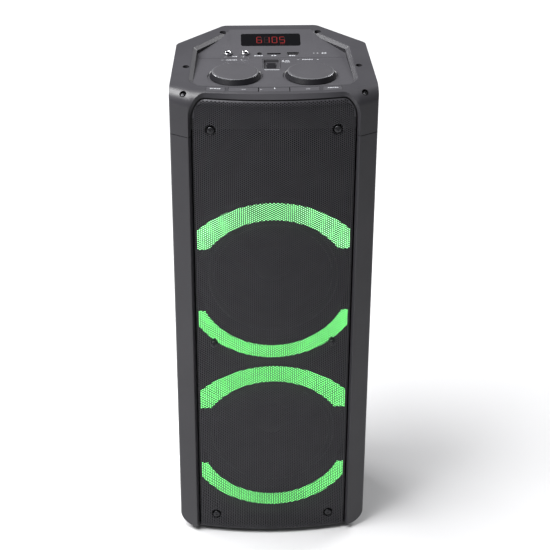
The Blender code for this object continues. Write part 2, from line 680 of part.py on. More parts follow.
DISH_STEPS = (-8.5, -4.9, 0.0, 4.9, 8.5)
columns = sorted({-1.0, -0.5, -0.25, 0.0, 0.25, 0.5, 1.0} | {side * (SCREW_X + d) / GRILLE_W for side in (-1, 1) for d in DISH_STEPS})
rows = [GRILLE_Z[0]] + [SCREW_Z[2] + d for d in DISH_STEPS] + [SCREW_Z[0] + d for d in DISH_STEPS]
rows += [GRILLE_Z[1] - CORNER_RZ, 685.0, 691.0, GRILLE_BEND_Z, 700.0, 703.0, 705.5, 707.2, GRILLE_Z[1]]
rows = sorted(set(rows))
sheet = bmesh.new()
bmesh.ops.create_grid(sheet, x_segments=len(columns) - 1, y_segments=len(rows) - 1, size=1.0)
for vert in sheet.verts:
    i = round((vert.co.x + 1) / 2 * (len(columns) - 1))
    j = round((vert.co.y + 1) / 2 * (len(rows) - 1))
    z = rows[j]
    over = max(0.0, z - (GRILLE_Z[1] - CORNER_RZ)) / CORNER_RZ
    width = GRILLE_W - CORNER_RX * (1 - math.sqrt(max(0.0, 1 - over**2)))
    x = columns[i] * width
    dip = 0.0
    for sz in (SCREW_Z[0], SCREW_Z[2]):
        away = math.hypot(abs(x) - SCREW_X, z - sz) / DISH_R
        if away < 1:
            dip = DISH_D * min(1.0, (1 - away) / 0.45)
    vert.co = (x * MM, (grille_y(x, z) + dip) * MM, z * MM)
bmesh.ops.recalc_face_normals(sheet, faces=sheet.faces)
if sum(f.normal.y for f in sheet.faces) > 0:
    bmesh.ops.reverse_faces(sheet, faces=sheet.faces)
sheet_mesh = bpy.data.meshes.new("grille")
sheet.to_mesh(sheet_mesh)
sheet.free()
grille = smooth(place(sheet_mesh, "grille", grille_black))
thick = grille.modifiers.new("thickness", "SOLIDIFY")
thick.thickness = GRILLE_T * MM
thick.offset = -1.0
for z in SCREW_Z:
    for side, word in ((-1, "left"), (1, "right")):
        spot = at(side * SCREW_X, 0, z) @ TURN_Y
        cut(grille, drum(f"grille_hole_{z:.0f}_{word}", 2.3, 80.0, 120.0, frame=spot, segments=12))
        seat = -grille_y(SCREW_X) - (0.0 if z == SCREW_Z[1] else DISH_D) + GAP + 1.3
        turned(
            f"grille_screw_{'top' if z == SCREW_Z[0] else 'middle' if z == SCREW_Z[1] else 'bottom'}_{word}",
            [(0, seat + 2.7), (2.4, seat + 2.4), (4.2, seat + 1.4), (4.9, seat), (1.8, seat), (1.8, seat - 13.0), (0, seat - 15.0)],
            screw_steel,
            spot,
            12,
        )

# ---------------------------------------------------------------- light guides


def guide_outline(up):
    """A ring's upper or lower arc, clipped at the sides and near the woofer's height."""
    inner_r, outer_r = GUIDE_R
    wide, tall = math.asin(GUIDE_X / outer_r), math.acos(GUIDE_DZ / inner_r)
    steps = 14
    outside = [(outer_r * math.sin(a), outer_r * math.cos(a)) for a in (wide - 2 * wide * i / steps for i in range(steps + 1))]
    inside = [(inner_r * math.sin(a), inner_r * math.cos(a)) for a in (-tall + 2 * tall * i / steps for i in range(steps + 1))]
    points = [(GUIDE_X, GUIDE_DZ)] + outside + [(-GUIDE_X, GUIDE_DZ)] + inside
    return [(x, z if up else -z) for x, z in points]


GUIDES = {}
for word, z in zip(("upper", "lower"), WOOFER_Z):
    for part_word, up in (("top", True), ("bottom", False)):
        name = f"{word}_ring_{part_word}_light_guide"
        mesh = outline_mesh(name, guide_outline(up), GUIDE_Y[1] - GUIDE_Y[0], at(0, sum(GUIDE_Y) / 2, z) @ ALONG_Y)
        GUIDES[name] = place(mesh, name, guide_green)
for side, word in ((-1, "left"), (1, "right")):
    notch = drum(f"guide_notch_{word}", 4.6, 70.0, 120.0, frame=at(side * SCREW_X, 0, SCREW_Z[1]) @ TURN_Y, segments=16)
    cut(GUIDES["upper_ring_bottom_light_guide"], notch)

# ---------------------------------------------------------------- woofers

for word, z in zip(("upper", "lower"), WOOFER_Z):
    spot = at(0, 0, z) @ TURN_Y  # heights below are distances to the front
    turned(
        f"{word}_woofer_basket",
        [
            (FLANGE_R, 83.8),
            (FLANGE_R, 80.3),
            (91.5, 80.3),
            (90.0, 76.0),
            (60.0, 38.0),
            (60.0, 32.0),
            (24.0, 32.0),
            (24.0, 34.5),
            (56.0, 34.5),
            (57.0, 39.0),
            (87.0, 77.0),
            (89.0, 80.0),
            (89.0, 83.8),
        ],
        basket_steel,
        spot,
        WOOFER_STEPS,
        ring=True,
    )
    turned(
        f"{word}_woofer_magnet",
        [(0, 40.0), (17.5, 40.0), (17.5, 24.0), (22.0, 24.0), (22.0, 31.7), (55.0, 31.7), (58.0, 29.0), (58.0, 8.0), (0, 6.0)],
        magnet_grey,
        spot,
        WOOFER_STEPS,
    )
    turned(
        f"{word}_woofer_surround",
        [(88.6, 83.0), (88.6, 80.8), (84.5, 84.0), (80.6, 80.6), (80.6, 82.5), (84.5, 86.5)],
        soft_rubber,
        spot,
        WOOFER_STEPS,
        ring=True,
    )
    turned(
        f"{word}_woofer_cone",
        [
            (0, 66.0),
            (14.0, 63.0),
            (26.0, 52.5),
            (50.0, 64.0),
            (80.0, 82.0),
            (80.0, 80.6),
            (50.0, 62.5),
            (26.0, 50.5),
            (20.6, 49.0),
            (20.6, 31.0),
            (19.2, 31.0),
            (19.2, 51.0),
            (12.0, 61.5),
            (0, 64.2),
        ],
        cone_paper,
        spot,
        WOOFER_STEPS,
    )

# ---------------------------------------------------------------- knobs

for side, word, label in ((-1, "left", "mic"), (1, "right", "volume")):
    spot = on_deck(side * KNOB_X, KNOB_Y)
    low = -KNOB_DISH_D + 0.5
    turned(
        f"{label}_knob",
        [
            (0, KNOB_H),
            (KNOB_TOP_R - 1.2, KNOB_H),
            (KNOB_TOP_R, KNOB_H - 0.8),
            (KNOB_R, low),
            (KNOB_R - 2.6, low),
            (KNOB_TOP_R - 2.4, KNOB_H - 2.6),
            (7.0, KNOB_H - 2.6),
            (7.0, low),
            (3.35, low),
            (3.35, KNOB_H - 3.0),
            (0, KNOB_H - 3.0),
        ],
        deck_grey,
        spot,
        32,
    )
    turned(f"{label}_knob_shaft", [(0, KNOB_H - 3.3), (3.0, KNOB_H - 3.3), (3.0, -11.2), (0, -11.2)], chrome, spot, 16)
    turned(
        f"{label}_encoder_body",
        [(0, -11.5), (3.35, -11.5), (3.35, -5.0), (9.0, -5.0), (9.0, -13.0), (0, -13.0)],
        port_steel,
        spot,
        20,
    )

# ---------------------------------------------------------------- power switch

tray = box("power_switch_body", (POCKET[2] - 0.6, POCKET[3] - 0.6, 14.7), (0, 0, -0.3 - 14.7 / 2), deck_grey, pocket_frame)
cut(tray, box("tray_hollow", (POCKET[2] - 3.6, POCKET[3] - 3.6, 20.0), (0, 0, -4.5 + 10.0), frame=pocket_frame))
cut(tray, box("rocker_slot", (12.5, 15.6, 20.0), (0, 2.3, -13.0 + 10.0), frame=pocket_frame))
rocker_frame = pocket_frame @ at(0, 2.3, -7.0) @ tilt_x(ROCKER_TILT)
rocker_side = [(-6.9, 4.2), (-3.5, 3.45), (0.0, 3.2), (3.5, 3.45), (6.9, 4.2), (6.6, -1.0), (4.6, -4.0), (-4.6, -4.0), (-6.6, -1.0)]
place(outline_mesh("power_rocker", rocker_side, 11.7, ALONG_X), "power_rocker", dark_plastic, rocker_frame)

# ---------------------------------------------------------------- keys

for name, (x0, x1) in KEYS.items():
    inset = GAP if name in ("mode_key", "echo_key") else 0.0
    plan_points = key_plan(x0 + (0.3 if not inset else 0), x1 - (0.3 if not inset else 0), inset)
    if not inset:
        count = len(plan_points) // 2
        plan_points = [(x, y + GAP) for x, y in plan_points[:count]] + [(x, y - GAP) for x, y in plan_points[count:]]
    key = slab(name, plan_points, KEY_FLOOR + KEY_TRAVEL + 0.4, TOP_Z, deck_grey)
    cut(key, bpy.data.objects["shoulder_waste"])

# ---------------------------------------------------------------- display and sockets

box("display_window", (WINDOW[0], WINDOW[1], 1.3), (0, 0, -0.65), window_black, window_frame)
box("display_module", (WINDOW[0] - 10.0, WINDOW[1] - 9.0, 7.0), (0, 0, -5.4), dark_plastic, window_frame, 0.6)
jack_top = deck_z(JACK_Y + 5.5) + GAP
for number, x in enumerate(MIC_X, 1):
    turned(
        f"mic_jack_{number}",
        [
            (4.9, jack_top + 1.9),
            (5.45, jack_top + 1.3),
            (5.45, jack_top),
            (4.4, jack_top),
            (4.4, 702.2),
            (7.0, 702.2),
            (7.0, 678.0),
            (JACK_BORE_R, 678.0),
            (JACK_BORE_R, jack_top + 1.9),
        ],
        chrome,
        at(x, JACK_Y, 0),
        16,
        ring=True,
    )
turned(
    "aux_jack",
    [(3.0, deck_z(JACK_Y - 3) - GAP), (3.0, 702.2), (4.2, 702.2), (4.2, 688.0), (1.8, 688.0), (1.8, deck_z(JACK_Y - 3) - GAP)],
    dark_plastic,
    at(-15.9, JACK_Y, 0),
    16,
    ring=True,
)
usb_port = box("usb_port", (15.4, 6.0, 18.0), (29.1, JACK_Y, deck_z(JACK_Y - 3) - GAP - 9.0), port_steel)
cut(usb_port, box("usb_mouth", (14.2, 4.8, 30.0), (29.1, JACK_Y, 707.6 - 14.0 + 15.0)))
card_slot = box("card_slot", (18.0, 2.8, 14.0), (3.5, JACK_Y, deck_z(JACK_Y - 1.5) - GAP - 7.0), dark_plastic)
cut(card_slot, box("card_mouth", (16.6, 1.6, 30.0), (3.5, JACK_Y, 707.6 - 11.0 + 15.0)))

# ---------------------------------------------------------------- boards, battery and feet

control_board = box("control_board", (180.0, 116.0, 1.6), (0, 4.0, 667.0), board_green)
cut(control_board, box("board_notch_a", (24.0, 20.0, 10.0), (90.0, 62.0, 667.0)), box("board_notch_b", (24.0, 20.0, 10.0), (-90.0, 62.0, 667.0)))
amplifier = box("amplifier_board", (96.0, 1.8, 110.0), (0, 84.0, 92.0), board_green)
join(amplifier, box("sink_base", (60.0, 6.0, 40.0), (10.0, 80.5, 120.0)))
for fin in range(5):
    join(amplifier, box(f"sink_fin_{fin}", (2.0, 16.0, 38.0), (-14.0 + 12.0 * fin, 70.5, 120.0)))
box("battery_pack", (150.0, 52.0, 72.0), (0, 22.0, BASE_Z + FLOOR_T + GAP + 36.0), battery_blue, None, 5.0)

for y, row in ((-75.0, "front"), (66.0, "rear")):
    for side, word in ((-1, "left"), (1, "right")):
        x = side * (100.0 if row == "front" else 72.0)
        turned(
            f"foot_{row}_{word}",
            [(0, FOOT_H - GAP), (13.0, FOOT_H - GAP), (13.0, 5.0), (12.0, 0.8), (11.2, 0.0), (0, 0.0)],
            soft_rubber,
            at(x, y, 0),
            20,
        )

for part in PARTS.objects:
    if not any(m.type == "SCREW" for m in part.modifiers):
        smooth(part, 30)
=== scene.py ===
"""The party speaker's looks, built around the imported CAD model. Lengths are in millimetres until they reach a mesh."""

import math
import bmesh
import bpy
import numpy as np
from mathutils import Matrix, Vector


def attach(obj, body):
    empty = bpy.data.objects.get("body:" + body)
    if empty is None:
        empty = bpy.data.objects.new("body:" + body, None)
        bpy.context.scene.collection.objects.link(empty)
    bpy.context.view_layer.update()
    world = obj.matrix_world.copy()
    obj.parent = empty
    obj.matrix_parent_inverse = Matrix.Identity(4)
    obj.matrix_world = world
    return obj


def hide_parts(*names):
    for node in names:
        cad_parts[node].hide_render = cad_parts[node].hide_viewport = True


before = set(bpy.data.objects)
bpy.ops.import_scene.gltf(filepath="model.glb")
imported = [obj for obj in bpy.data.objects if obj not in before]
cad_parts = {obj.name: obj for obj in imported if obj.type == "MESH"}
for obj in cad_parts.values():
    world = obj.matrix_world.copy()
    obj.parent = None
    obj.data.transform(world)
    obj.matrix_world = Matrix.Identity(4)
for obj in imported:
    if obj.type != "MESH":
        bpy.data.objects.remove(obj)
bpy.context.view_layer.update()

MM = 0.001
GAP = 0.3
scene = bpy.context.scene
scene.view_settings.view_transform = "Standard"
scene.view_settings.look = "None"

# Cabinet dimensions, the same as the CAD's.
BASE_Z, SEAM_Z, TOP_Z = 8.0, 656.0, 718.0
WALL = 4.5
CORNER, CREASE, LIP = (135.0, -90.0), (111.0, -103.0), (107.5, -98.0)
BOW_Y = -110.5
SIDE_REAR, REAR, REAR_R = (127.0, 50.5), (63.5, 110.0), 12.0
SPLIT_Y, SHOULDER_R, BOTTOM_R, FLOOR_T = -30.0, 20.0, 20.0, 5.0
BAFFLE = (-80.0, -72.0)
GRILLE_W, GRILLE_Y, GRILLE_BOW, GRILLE_T = 105.5, -110.0, 11.0, 1.2
GRILLE_Z, GRILLE_R, GRILLE_BEND_Z = (8.5, 708.0), 17.0, 696.5
CORNER_RX, CORNER_RZ = 18.0, 30.0
SCREW_X, SCREW_Z, DISH_R, DISH_D = 82.0, (666.0, 336.0, 32.5), 8.5, 3.0
DECK_FRONT, DECK_CREASE, DECK_REAR, DECK_STEP, DECK_DROP, DECK_T = -62.0, 30.0, 96.0, 4.0, 11.0, 4.0
RAMP = (-84.2, -74.0)
RECESS = [(60.0, -92.0), (92.0, -76.0), (104.5, -61.0), (99.5, 38.0), (49.0, 94.0)]
RECESS += [(-x, y) for x, y in reversed(RECESS)]
KNOB_X, KNOB_Y, KNOB_R, KNOB_TOP_R, KNOB_H = 49.3, -38.5, 33.8, 30.7, 7.5
KNOB_DISH_R, KNOB_DISH_D = 36.4, 1.2
JACK_Y, MIC_X, JACK_BORE_R = 38.0, (-58.3, -35.2), 3.25
POCKET, ROCKER_TILT = (-0.7, 5.0, 24.0, 36.0), 8.0
WINDOW = (80.0, 29.0, 71.0)
KEYS = {"mode": (-87.0, -62.6), "previous": (-58.5, -20.3), "play": (-19.7, 19.7), "next": (20.3, 58.5), "echo": (62.6, 87.0)}
KEY_Y, KEY_FLOOR, KEY_TRAVEL = (-96.0, -85.5), 712.2, 0.8
WOOFER_Z, FLANGE_R = (432.1, 169.7), 103.8
GUIDE_R, GUIDE_X, GUIDE_DZ, GUIDE_Y = (104.3, 123.7), 102.0, 48.0, (-97.5, -80.3)
PORT_Z, PORT_R, PORT_LEN = 294.0, 27.0, 72.0
PLATE, INLET = (98.0, 64.0, 96.0), (26.0, 18.0)

ALONG_X = Matrix(((0, 0, 1, 0), (1, 0, 0, 0), (0, 1, 0, 0), (0, 0, 0, 1)))
ALONG_Y = Matrix(((1, 0, 0, 0), (0, 0, -1, 0), (0, 1, 0, 0), (0, 0, 0, 1)))
TURN_Y = ALONG_Y.copy()

# ---------------------------------------------------------------- camera, light and floor

cam_data = bpy.data.cameras.new("camera")
camera = bpy.data.objects.new("camera", cam_data)
scene.collection.objects.link(camera)
cam_data.sensor_width = 36.0
cam_data.lens = 36.0 * 1752.5 / 550.0
camera.location = (-0.0642, -2.1149, 1.6979)
PITCH, YAW, ROLL = math.radians(31.872), math.radians(1.884), math.radians(0.318)
turn = Matrix.Rotation(-YAW, 3, "Z") @ Matrix.Rotation(math.radians(90) - PITCH, 3, "X") @ Matrix.Rotation(ROLL, 3, "Z")
camera.rotation_euler = turn.to_euler()
scene.camera = camera


def lamp(name, size, energy, location, target, colour=(1, 1, 1), size_y=None):
    data = bpy.data.lights.new(name, "AREA")
    data.shape = "RECTANGLE"
    data.size = size
    data.size_y = size_y or size
    data.energy = energy
    data.color = colour
    obj = bpy.data.objects.new(name, data)
    scene.collection.objects.link(obj)
    obj.location = location
    obj.rotation_euler = (Vector(target) - Vector(location)).to_track_quat("-Z", "Y").to_euler()
    return obj


lamp("main_softbox", 1.5, 128.0, (-0.95, -0.42, 2.3), (0, 0, 0.65), size_y=1.6)
lamp("rear_light_left", 1.4, 66.0, (-1.9, 1.7, 2.1), (-0.1, 1.3, 0), size_y=1.2)
lamp("rear_light_right", 1.4, 66.0, (1.9, 1.7, 2.1), (0.1, 1.3, 0), size_y=1.2)
lamp("front_fill", 1.2, 2.0, (0.6, -2.0, 1.7), (0, 0, 0.6), size_y=0.8)

world = bpy.data.worlds.new("studio")
scene.world = world
world.use_nodes = True
world.node_tree.nodes["Background"].inputs["Color"].default_value = (0.97, 0.98, 1.0, 1)
world.node_tree.nodes["Background"].inputs["Strength"].default_value = 0.20

# ---------------------------------------------------------------- materials


class Finish:
    """A node material with a few ready-made layers."""

    def __init__(self, name, colour, roughness, metallic=0.0):
        self.mat = bpy.data.materials.new(name)
        self.mat.use_nodes = True
        self.tree = self.mat.node_tree
        self.shader = self.tree.nodes["Principled BSDF"]
        self.colour = colour
        self.shader.inputs["Base Color"].default_value = (*colour, 1)
        self.shader.inputs["Roughness"].default_value = roughness
        self.shader.inputs["Metallic"].default_value = metallic
        self.where = self.tree.nodes.new("ShaderNodeTexCoord").outputs["Object"]

    def noise(self, scale, detail=3.0, roughness=0.5):
        node = self.tree.nodes.new("ShaderNodeTexNoise")
        node.inputs["Scale"].default_value = scale
        node.inputs["Detail"].default_value = detail
        node.inputs["Roughness"].default_value = roughness
        self.tree.links.new(self.where, node.inputs["Vector"])
        return node.outputs["Fac"]

    def cells(self, scale):
        node = self.tree.nodes.new("ShaderNodeTexVoronoi")
        node.inputs["Scale"].default_value = scale
        self.tree.links.new(self.where, node.inputs["Vector"])
        return node.outputs["Distance"]

    def ramp(self, source, low, high, start=0.35, end=0.65):
        node = self.tree.nodes.new("ShaderNodeMapRange")
        node.inputs["From Min"].default_value = start
        node.inputs["From Max"].default_value = end
        node.inputs["To Min"].default_value = low
        node.inputs["To Max"].default_value = high
        self.tree.links.new(source, node.inputs["Value"])
        return node.outputs["Result"]

    def vary_colour(self, source, other, start=0.35, end=0.65):
        node = self.tree.nodes.new("ShaderNodeMix")
        node.data_type = "RGBA"
        self.tree.links.new(self.ramp(source, 0.0, 1.0, start, end), node.inputs["Factor"])
        node.inputs[6].default_value = (*self.colour, 1)
        node.inputs[7].default_value = (*other, 1)
        self.tree.links.new(node.outputs[2], self.shader.inputs["Base Color"])
        return self

    def vary_roughness(self, source, low, high):
        self.tree.links.new(self.ramp(source, low, high), self.shader.inputs["Roughness"])
        return self

    def bump(self, source, depth, strength=1.0):
        node = self.tree.nodes.new("ShaderNodeBump")
        node.inputs["Strength"].default_value = strength
        node.inputs["Distance"].default_value = depth
        self.tree.links.new(source, node.inputs["Height"])
        self.tree.links.new(node.outputs["Normal"], self.shader.inputs["Normal"])
        return self


def textured_plastic(name, colour, roughness, grain=900.0, depth=0.00010):
    f = Finish(name, colour, roughness)
    darker = tuple(c * 0.88 for c in colour)
    f.vary_colour(f.noise(14.0, 4.0), darker)
    f.vary_roughness(f.noise(60.0), roughness - 0.02, roughness + 0.03)
    f.bump(f.noise(grain, 3.0, 0.6), depth, 0.5)
    return f.mat


SHELL = textured_plastic("shell_plastic", (0.030, 0.0292, 0.0332), 0.36)
DECK = textured_plastic("deck_plastic", (0.042, 0.041, 0.046), 0.40)
KNOB_CAP = textured_plastic("knob_cap_plastic", (0.042, 0.041, 0.0455), 0.36, 1400.0, 0.00005)
for plastic in (SHELL, DECK, KNOB_CAP):
    plastic.node_tree.nodes["Principled BSDF"].inputs["Specular IOR Level"].default_value = 0.36
BLACK = textured_plastic("black_plastic", (0.006, 0.0058, 0.0075), 0.45, 1200.0, 0.00005)
BLACK.node_tree.nodes["Principled BSDF"].inputs["Specular IOR Level"].default_value = 0.12
SHADE = textured_plastic("shaded_plastic", (0.016, 0.0155, 0.018), 0.6)
SHADE.node_tree.nodes["Principled BSDF"].inputs["Specular IOR Level"].default_value = 0.2
RIM_BLACK = textured_plastic("lip_plastic", (0.030, 0.029, 0.033), 0.42)
RUBBER = textured_plastic("foot_rubber", (0.013, 0.013, 0.014), 0.8, 700.0, 0.00012)

f = Finish("grille_steel", (0.038, 0.037, 0.042), 0.34, 0.4)
f.vary_colour(f.noise(30.0), (0.033, 0.032, 0.037))
f.vary_roughness(f.noise(90.0), 0.31, 0.38)
GRILLE = f.mat
# Near-black painted shade: the grille's hole walls, its back and rim, and its screw dishes get this in place of the
# steel, for the shade inside and behind them.
HOLE = Finish("grille_hole_painted_shade", (0.004, 0.004, 0.0045), 0.7)
HOLE.vary_colour(HOLE.noise(60.0), (0.003, 0.003, 0.0034))
HOLE.shader.inputs["Specular IOR Level"].default_value = 0.1
GRILLE_HOLE_SHADE = HOLE.mat

EDGE = Finish("knob_bright_edge", (0.22, 0.22, 0.235), 0.26, 0.7)
EDGE.vary_roughness(EDGE.noise(800.0), 0.18, 0.28)
EDGE = EDGE.mat

f = Finish("screw_steel", (0.035, 0.035, 0.038), 0.3, 0.8)
f.vary_roughness(f.noise(900.0), 0.2, 0.36)
SCREW = f.mat

f = Finish("nut_chrome", (0.55, 0.55, 0.57), 0.12, 1.0)
f.vary_roughness(f.noise(500.0), 0.08, 0.2)
CHROME = f.mat

f = Finish("port_steel", (0.42, 0.42, 0.43), 0.35, 1.0)
f.vary_roughness(f.noise(700.0), 0.28, 0.45)
PORT_METAL = f.mat

f = Finish("cone_paper", (0.016, 0.016, 0.017), 0.75)
f.vary_colour(f.noise(220.0, 4.0), (0.028, 0.027, 0.027))
f.bump(f.noise(420.0, 4.0), 0.0002, 0.6)
CONE = f.mat

f = Finish("surround_rubber", (0.014, 0.014, 0.015), 0.55)
f.vary_roughness(f.noise(200.0), 0.45, 0.62)
SURROUND = f.mat

f = Finish("basket_steel", (0.03, 0.03, 0.032), 0.5, 0.6)
f.vary_roughness(f.noise(300.0), 0.4, 0.6)
BASKET = f.mat

f = Finish("ferrite", (0.06, 0.06, 0.062), 0.6, 0.2)
f.vary_colour(f.noise(160.0), (0.035, 0.035, 0.037))
FERRITE = f.mat

f = Finish("circuit_board", (0.012, 0.085, 0.04), 0.4)
f.vary_colour(f.cells(260.0), (0.02, 0.13, 0.06), 0.1, 0.3)
BOARD = f.mat

f = Finish("battery_wrap", (0.02, 0.045, 0.13), 0.35)
f.bump(f.noise(120.0), 0.0002, 0.5)
BATTERY = f.mat

f = Finish("smoked_window", (0.003, 0.003, 0.0035), 0.2)
f.shader.inputs["Specular IOR Level"].default_value = 0.05
f.vary_roughness(f.noise(40.0), 0.08, 0.13)
WINDOW_MAT = f.mat

f = Finish("label_ink", (0.30, 0.305, 0.325), 0.6)
f.vary_colour(f.noise(1500.0), (0.23, 0.235, 0.25))
INK = f.mat
f = Finish("faint_ink", (0.15, 0.15, 0.16), 0.6)
f.vary_colour(f.noise(1500.0), (0.115, 0.115, 0.125))
FAINT = f.mat


def emitter(name, colour, strength):
    f = Finish(name, tuple(c * 0.3 for c in colour), 0.5)
    f.shader.inputs["Emission Color"].default_value = (*colour, 1)
    f.shader.inputs["Emission Strength"].default_value = strength
    return f


def guide_finish(name, colour, weak, strong):
    """Green light, stronger towards an arc's ends, with a slight unevenness."""
    f = emitter(name, colour, 1.0)
    split = f.tree.nodes.new("ShaderNodeSeparateXYZ")
    f.tree.links.new(f.where, split.inputs[0])
    side = f.tree.nodes.new("ShaderNodeMath")
    side.operation = "ABSOLUTE"
    f.tree.links.new(split.outputs["X"], side.inputs[0])
    add = f.tree.nodes.new("ShaderNodeMath")
    add.operation = "MULTIPLY"
    f.tree.links.new(f.ramp(side.outputs[0], weak, strong, 0.02, 0.095), add.inputs[0])
    f.tree.links.new(f.ramp(f.noise(45.0, 2.0), 0.9, 1.1), add.inputs[1])
    f.tree.links.new(add.outputs[0], f.shader.inputs["Emission Strength"])
    return f.mat


GUIDE_TOP = guide_finish("light_guide_top", (0.30, 1.0, 0.36), 2.5, 3.7)
GUIDE = guide_finish("light_guide", (0.20, 1.0, 0.24), 3.2, 4.0)
f = emitter("red_segments", (1.0, 0.05, 0.05), 0.30)
f.shader.inputs["Base Color"].default_value = (0.03, 0.004, 0.004, 1)
f.shader.inputs["Specular IOR Level"].default_value = 0.1
RED = f.mat
f = emitter("faint_segments", (1.0, 0.05, 0.05), 0.004)
f.shader.inputs["Base Color"].default_value = (0.012, 0.005, 0.005, 1)
f.shader.inputs["Specular IOR Level"].default_value = 0.1
RED_OFF = f.mat

# ---------------------------------------------------------------- mesh helpers


def at(x=0.0, y=0.0, z=0.0):
    return Matrix.Translation((x * MM, y * MM, z * MM))


def tilt_x(degrees):
    return Matrix.Rotation(math.radians(degrees), 4, "X")


def mesh_from(shape, name, matrix=None):
    if matrix is not None:
        bmesh.ops.transform(shape, matrix=matrix, verts=shape.verts)
    mesh = bpy.data.meshes.new(name)
    shape.to_mesh(mesh)
    shape.free()
    return mesh


def outline_mesh(name, points, thickness, matrix=None):
    curve = bpy.data.curves.new(name, "CURVE")
    curve.dimensions = "2D"
    curve.fill_mode = "BOTH"
    curve.extrude = thickness * MM / 2
    spline = curve.splines.new("POLY")
    spline.points.add(len(points) - 1)
    for point, (x, y) in zip(spline.points, points):
        point.co = (x * MM, y * MM, 0.0, 1.0)
    spline.use_cyclic_u = True
    guide = bpy.data.objects.new(name, curve)
    scene.collection.objects.link(guide)
    mesh = bpy.data.meshes.new_from_object(guide.evaluated_get(bpy.context.evaluated_depsgraph_get()))
    bpy.data.objects.remove(guide, do_unlink=True)
    bpy.data.curves.remove(curve)
    shape = bmesh.new()
    shape.from_mesh(mesh)
    bpy.data.meshes.remove(mesh)
    bmesh.ops.remove_doubles(shape, verts=shape.verts, dist=0.000005)
    bmesh.ops.dissolve_limit(shape, angle_limit=0.0005, verts=shape.verts, edges=shape.edges)
    bmesh.ops.recalc_face_normals(shape, faces=shape.faces)
    return mesh_from(shape, name, matrix)


def slab_mesh(name, points, z0, z1, matrix=None):
    move = at(0, 0, (z0 + z1) / 2)
    return outline_mesh(name, points, z1 - z0, move if matrix is None else matrix @ move)


def box_mesh(name, size, centre, matrix=None, edge=0.0, segments=3):
    shape = bmesh.new()
    bmesh.ops.create_cube(shape, size=1.0)
    bmesh.ops.scale(shape, vec=[s * MM for s in size], verts=shape.verts)
    if edge:
        bmesh.ops.bevel(shape, geom=shape.edges[:], offset=edge * MM, segments=segments, profile=0.5, affect="EDGES")
    bmesh.ops.translate(shape, vec=[c * MM for c in centre], verts=shape.verts)
    return mesh_from(shape, name, matrix)


def drum_mesh(name, radius, z0, z1, matrix=None, segments=48, radius2=None):
    shape = bmesh.new()
    bmesh.ops.create_cone(
        shape, cap_ends=True, segments=segments, radius1=radius * MM, radius2=(radius2 or radius) * MM, depth=(z1 - z0) * MM
    )
    bmesh.ops.translate(shape, vec=(0, 0, (z0 + z1) / 2 * MM), verts=shape.verts)
    return mesh_from(shape, name, matrix)


def turned_mesh(name, profile, matrix=None, steps=96, ring=False):
    """A profile of (radius, height), top to bottom on its outer side, swept about Z."""
    shape = bmesh.new()
    loops = []
    for r, z in profile:
        if r == 0:
            loops.append([shape.verts.new((0, 0, z * MM))])
        else:
            loops.append(
                [
                    shape.verts.new((r * math.cos(2 * math.pi * i / steps) * MM, r * math.sin(2 * math.pi * i / steps) * MM, z * MM))
                    for i in range(steps)
                ]
            )
    pairs = list(zip(loops, loops[1:])) + ([(loops[-1], loops[0])] if ring else [])
    for a, b in pairs:
        for i in range(steps):
            j = (i + 1) % steps
            if len(a) == 1 and len(b) == 1:
                continue
            if len(a) == 1:
                shape.faces.new((a[0], b[i], b[j]))
            elif len(b) == 1:
                shape.faces.new((a[i], b[0], a[j]))
            else:
                shape.faces.new((a[i], b[i], b[j], a[j]))
    bmesh.ops.recalc_face_normals(shape, faces=shape.faces)
    return mesh_from(shape, name, matrix)


def temp(mesh):
    obj = bpy.data.objects.new(mesh.name, mesh)
    scene.collection.objects.link(obj)
    return obj


def carve(mesh, *changes):
    """A mesh after Booleans, each a (mesh, operation) pair or a mesh to take away."""
    obj = temp(mesh)
    helpers = []
    for change in changes:
        other, operation = change if isinstance(change, tuple) else (change, "DIFFERENCE")
        helper = temp(other)
        helpers.append(helper)
        step = obj.modifiers.new(other.name, "BOOLEAN")
        step.operation = operation
        step.solver = "EXACT"
        step.object = helper
    made = bpy.data.meshes.new_from_object(obj.evaluated_get(bpy.context.evaluated_depsgraph_get()))
    made.name = mesh.name
    for o in [obj, *helpers]:
        data = o.data
        bpy.data.objects.remove(o, do_unlink=True)
        bpy.data.meshes.remove(data)
    return made


def piece(name, mesh, body, finish, replaces=(), angle=30, bevel=0.0, weighted=True, segments=2, paint=None):
    """A finished piece, shaded and attached. paint(centre in mm, normal) gives a face's material index."""
    mesh.name = name
    mesh.materials.clear()
    for mat in finish if isinstance(finish, (list, tuple)) else [finish]:
        mesh.materials.append(mat)
    mesh.polygons.foreach_set("material_index", [paint(f.center / MM, f.normal) if paint else 0 for f in mesh.polygons])
    obj = bpy.data.objects.new(name, mesh)
    scene.collection.objects.link(obj)
    mesh.shade_smooth()
    mesh.set_sharp_from_angle(angle=math.radians(angle))
    if bevel:
        edge = obj.modifiers.new("edges", "BEVEL")
        edge.width = bevel * MM
        edge.segments = segments
        edge.limit_method = "ANGLE"
        edge.angle_limit = math.radians(35)
        edge.use_clamp_overlap = False
        edge.harden_normals = False
    if weighted:
        normals = obj.modifiers.new("normals", "WEIGHTED_NORMAL")
        normals.keep_sharp = True
        normals.weight = 90
    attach(obj, body)
    if replaces:
        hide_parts(*replaces)
    return obj


def rounded(points, radii, steps=8):
    made = []
    count = len(points)
    for i, (corner, radius) in enumerate(zip(points, radii)):
        if not radius:
            made.append(corner)
            continue
        here = Vector(corner)
        back = (Vector(points[i - 1]) - here).normalized()
        ahead = (Vector(points[(i + 1) % count]) - here).normalized()
        half = back.angle(ahead) / 2
        centre = here + (back + ahead).normalized() * (radius / math.sin(half))
        start = here + back * (radius / math.tan(half)) - centre
        end = here + ahead * (radius / math.tan(half)) - centre
        sweep = start.angle_signed(end)
        for step in range(steps + 1):
            made.append(tuple(centre + Matrix.Rotation(-sweep * step / steps, 2) @ start))
    return made


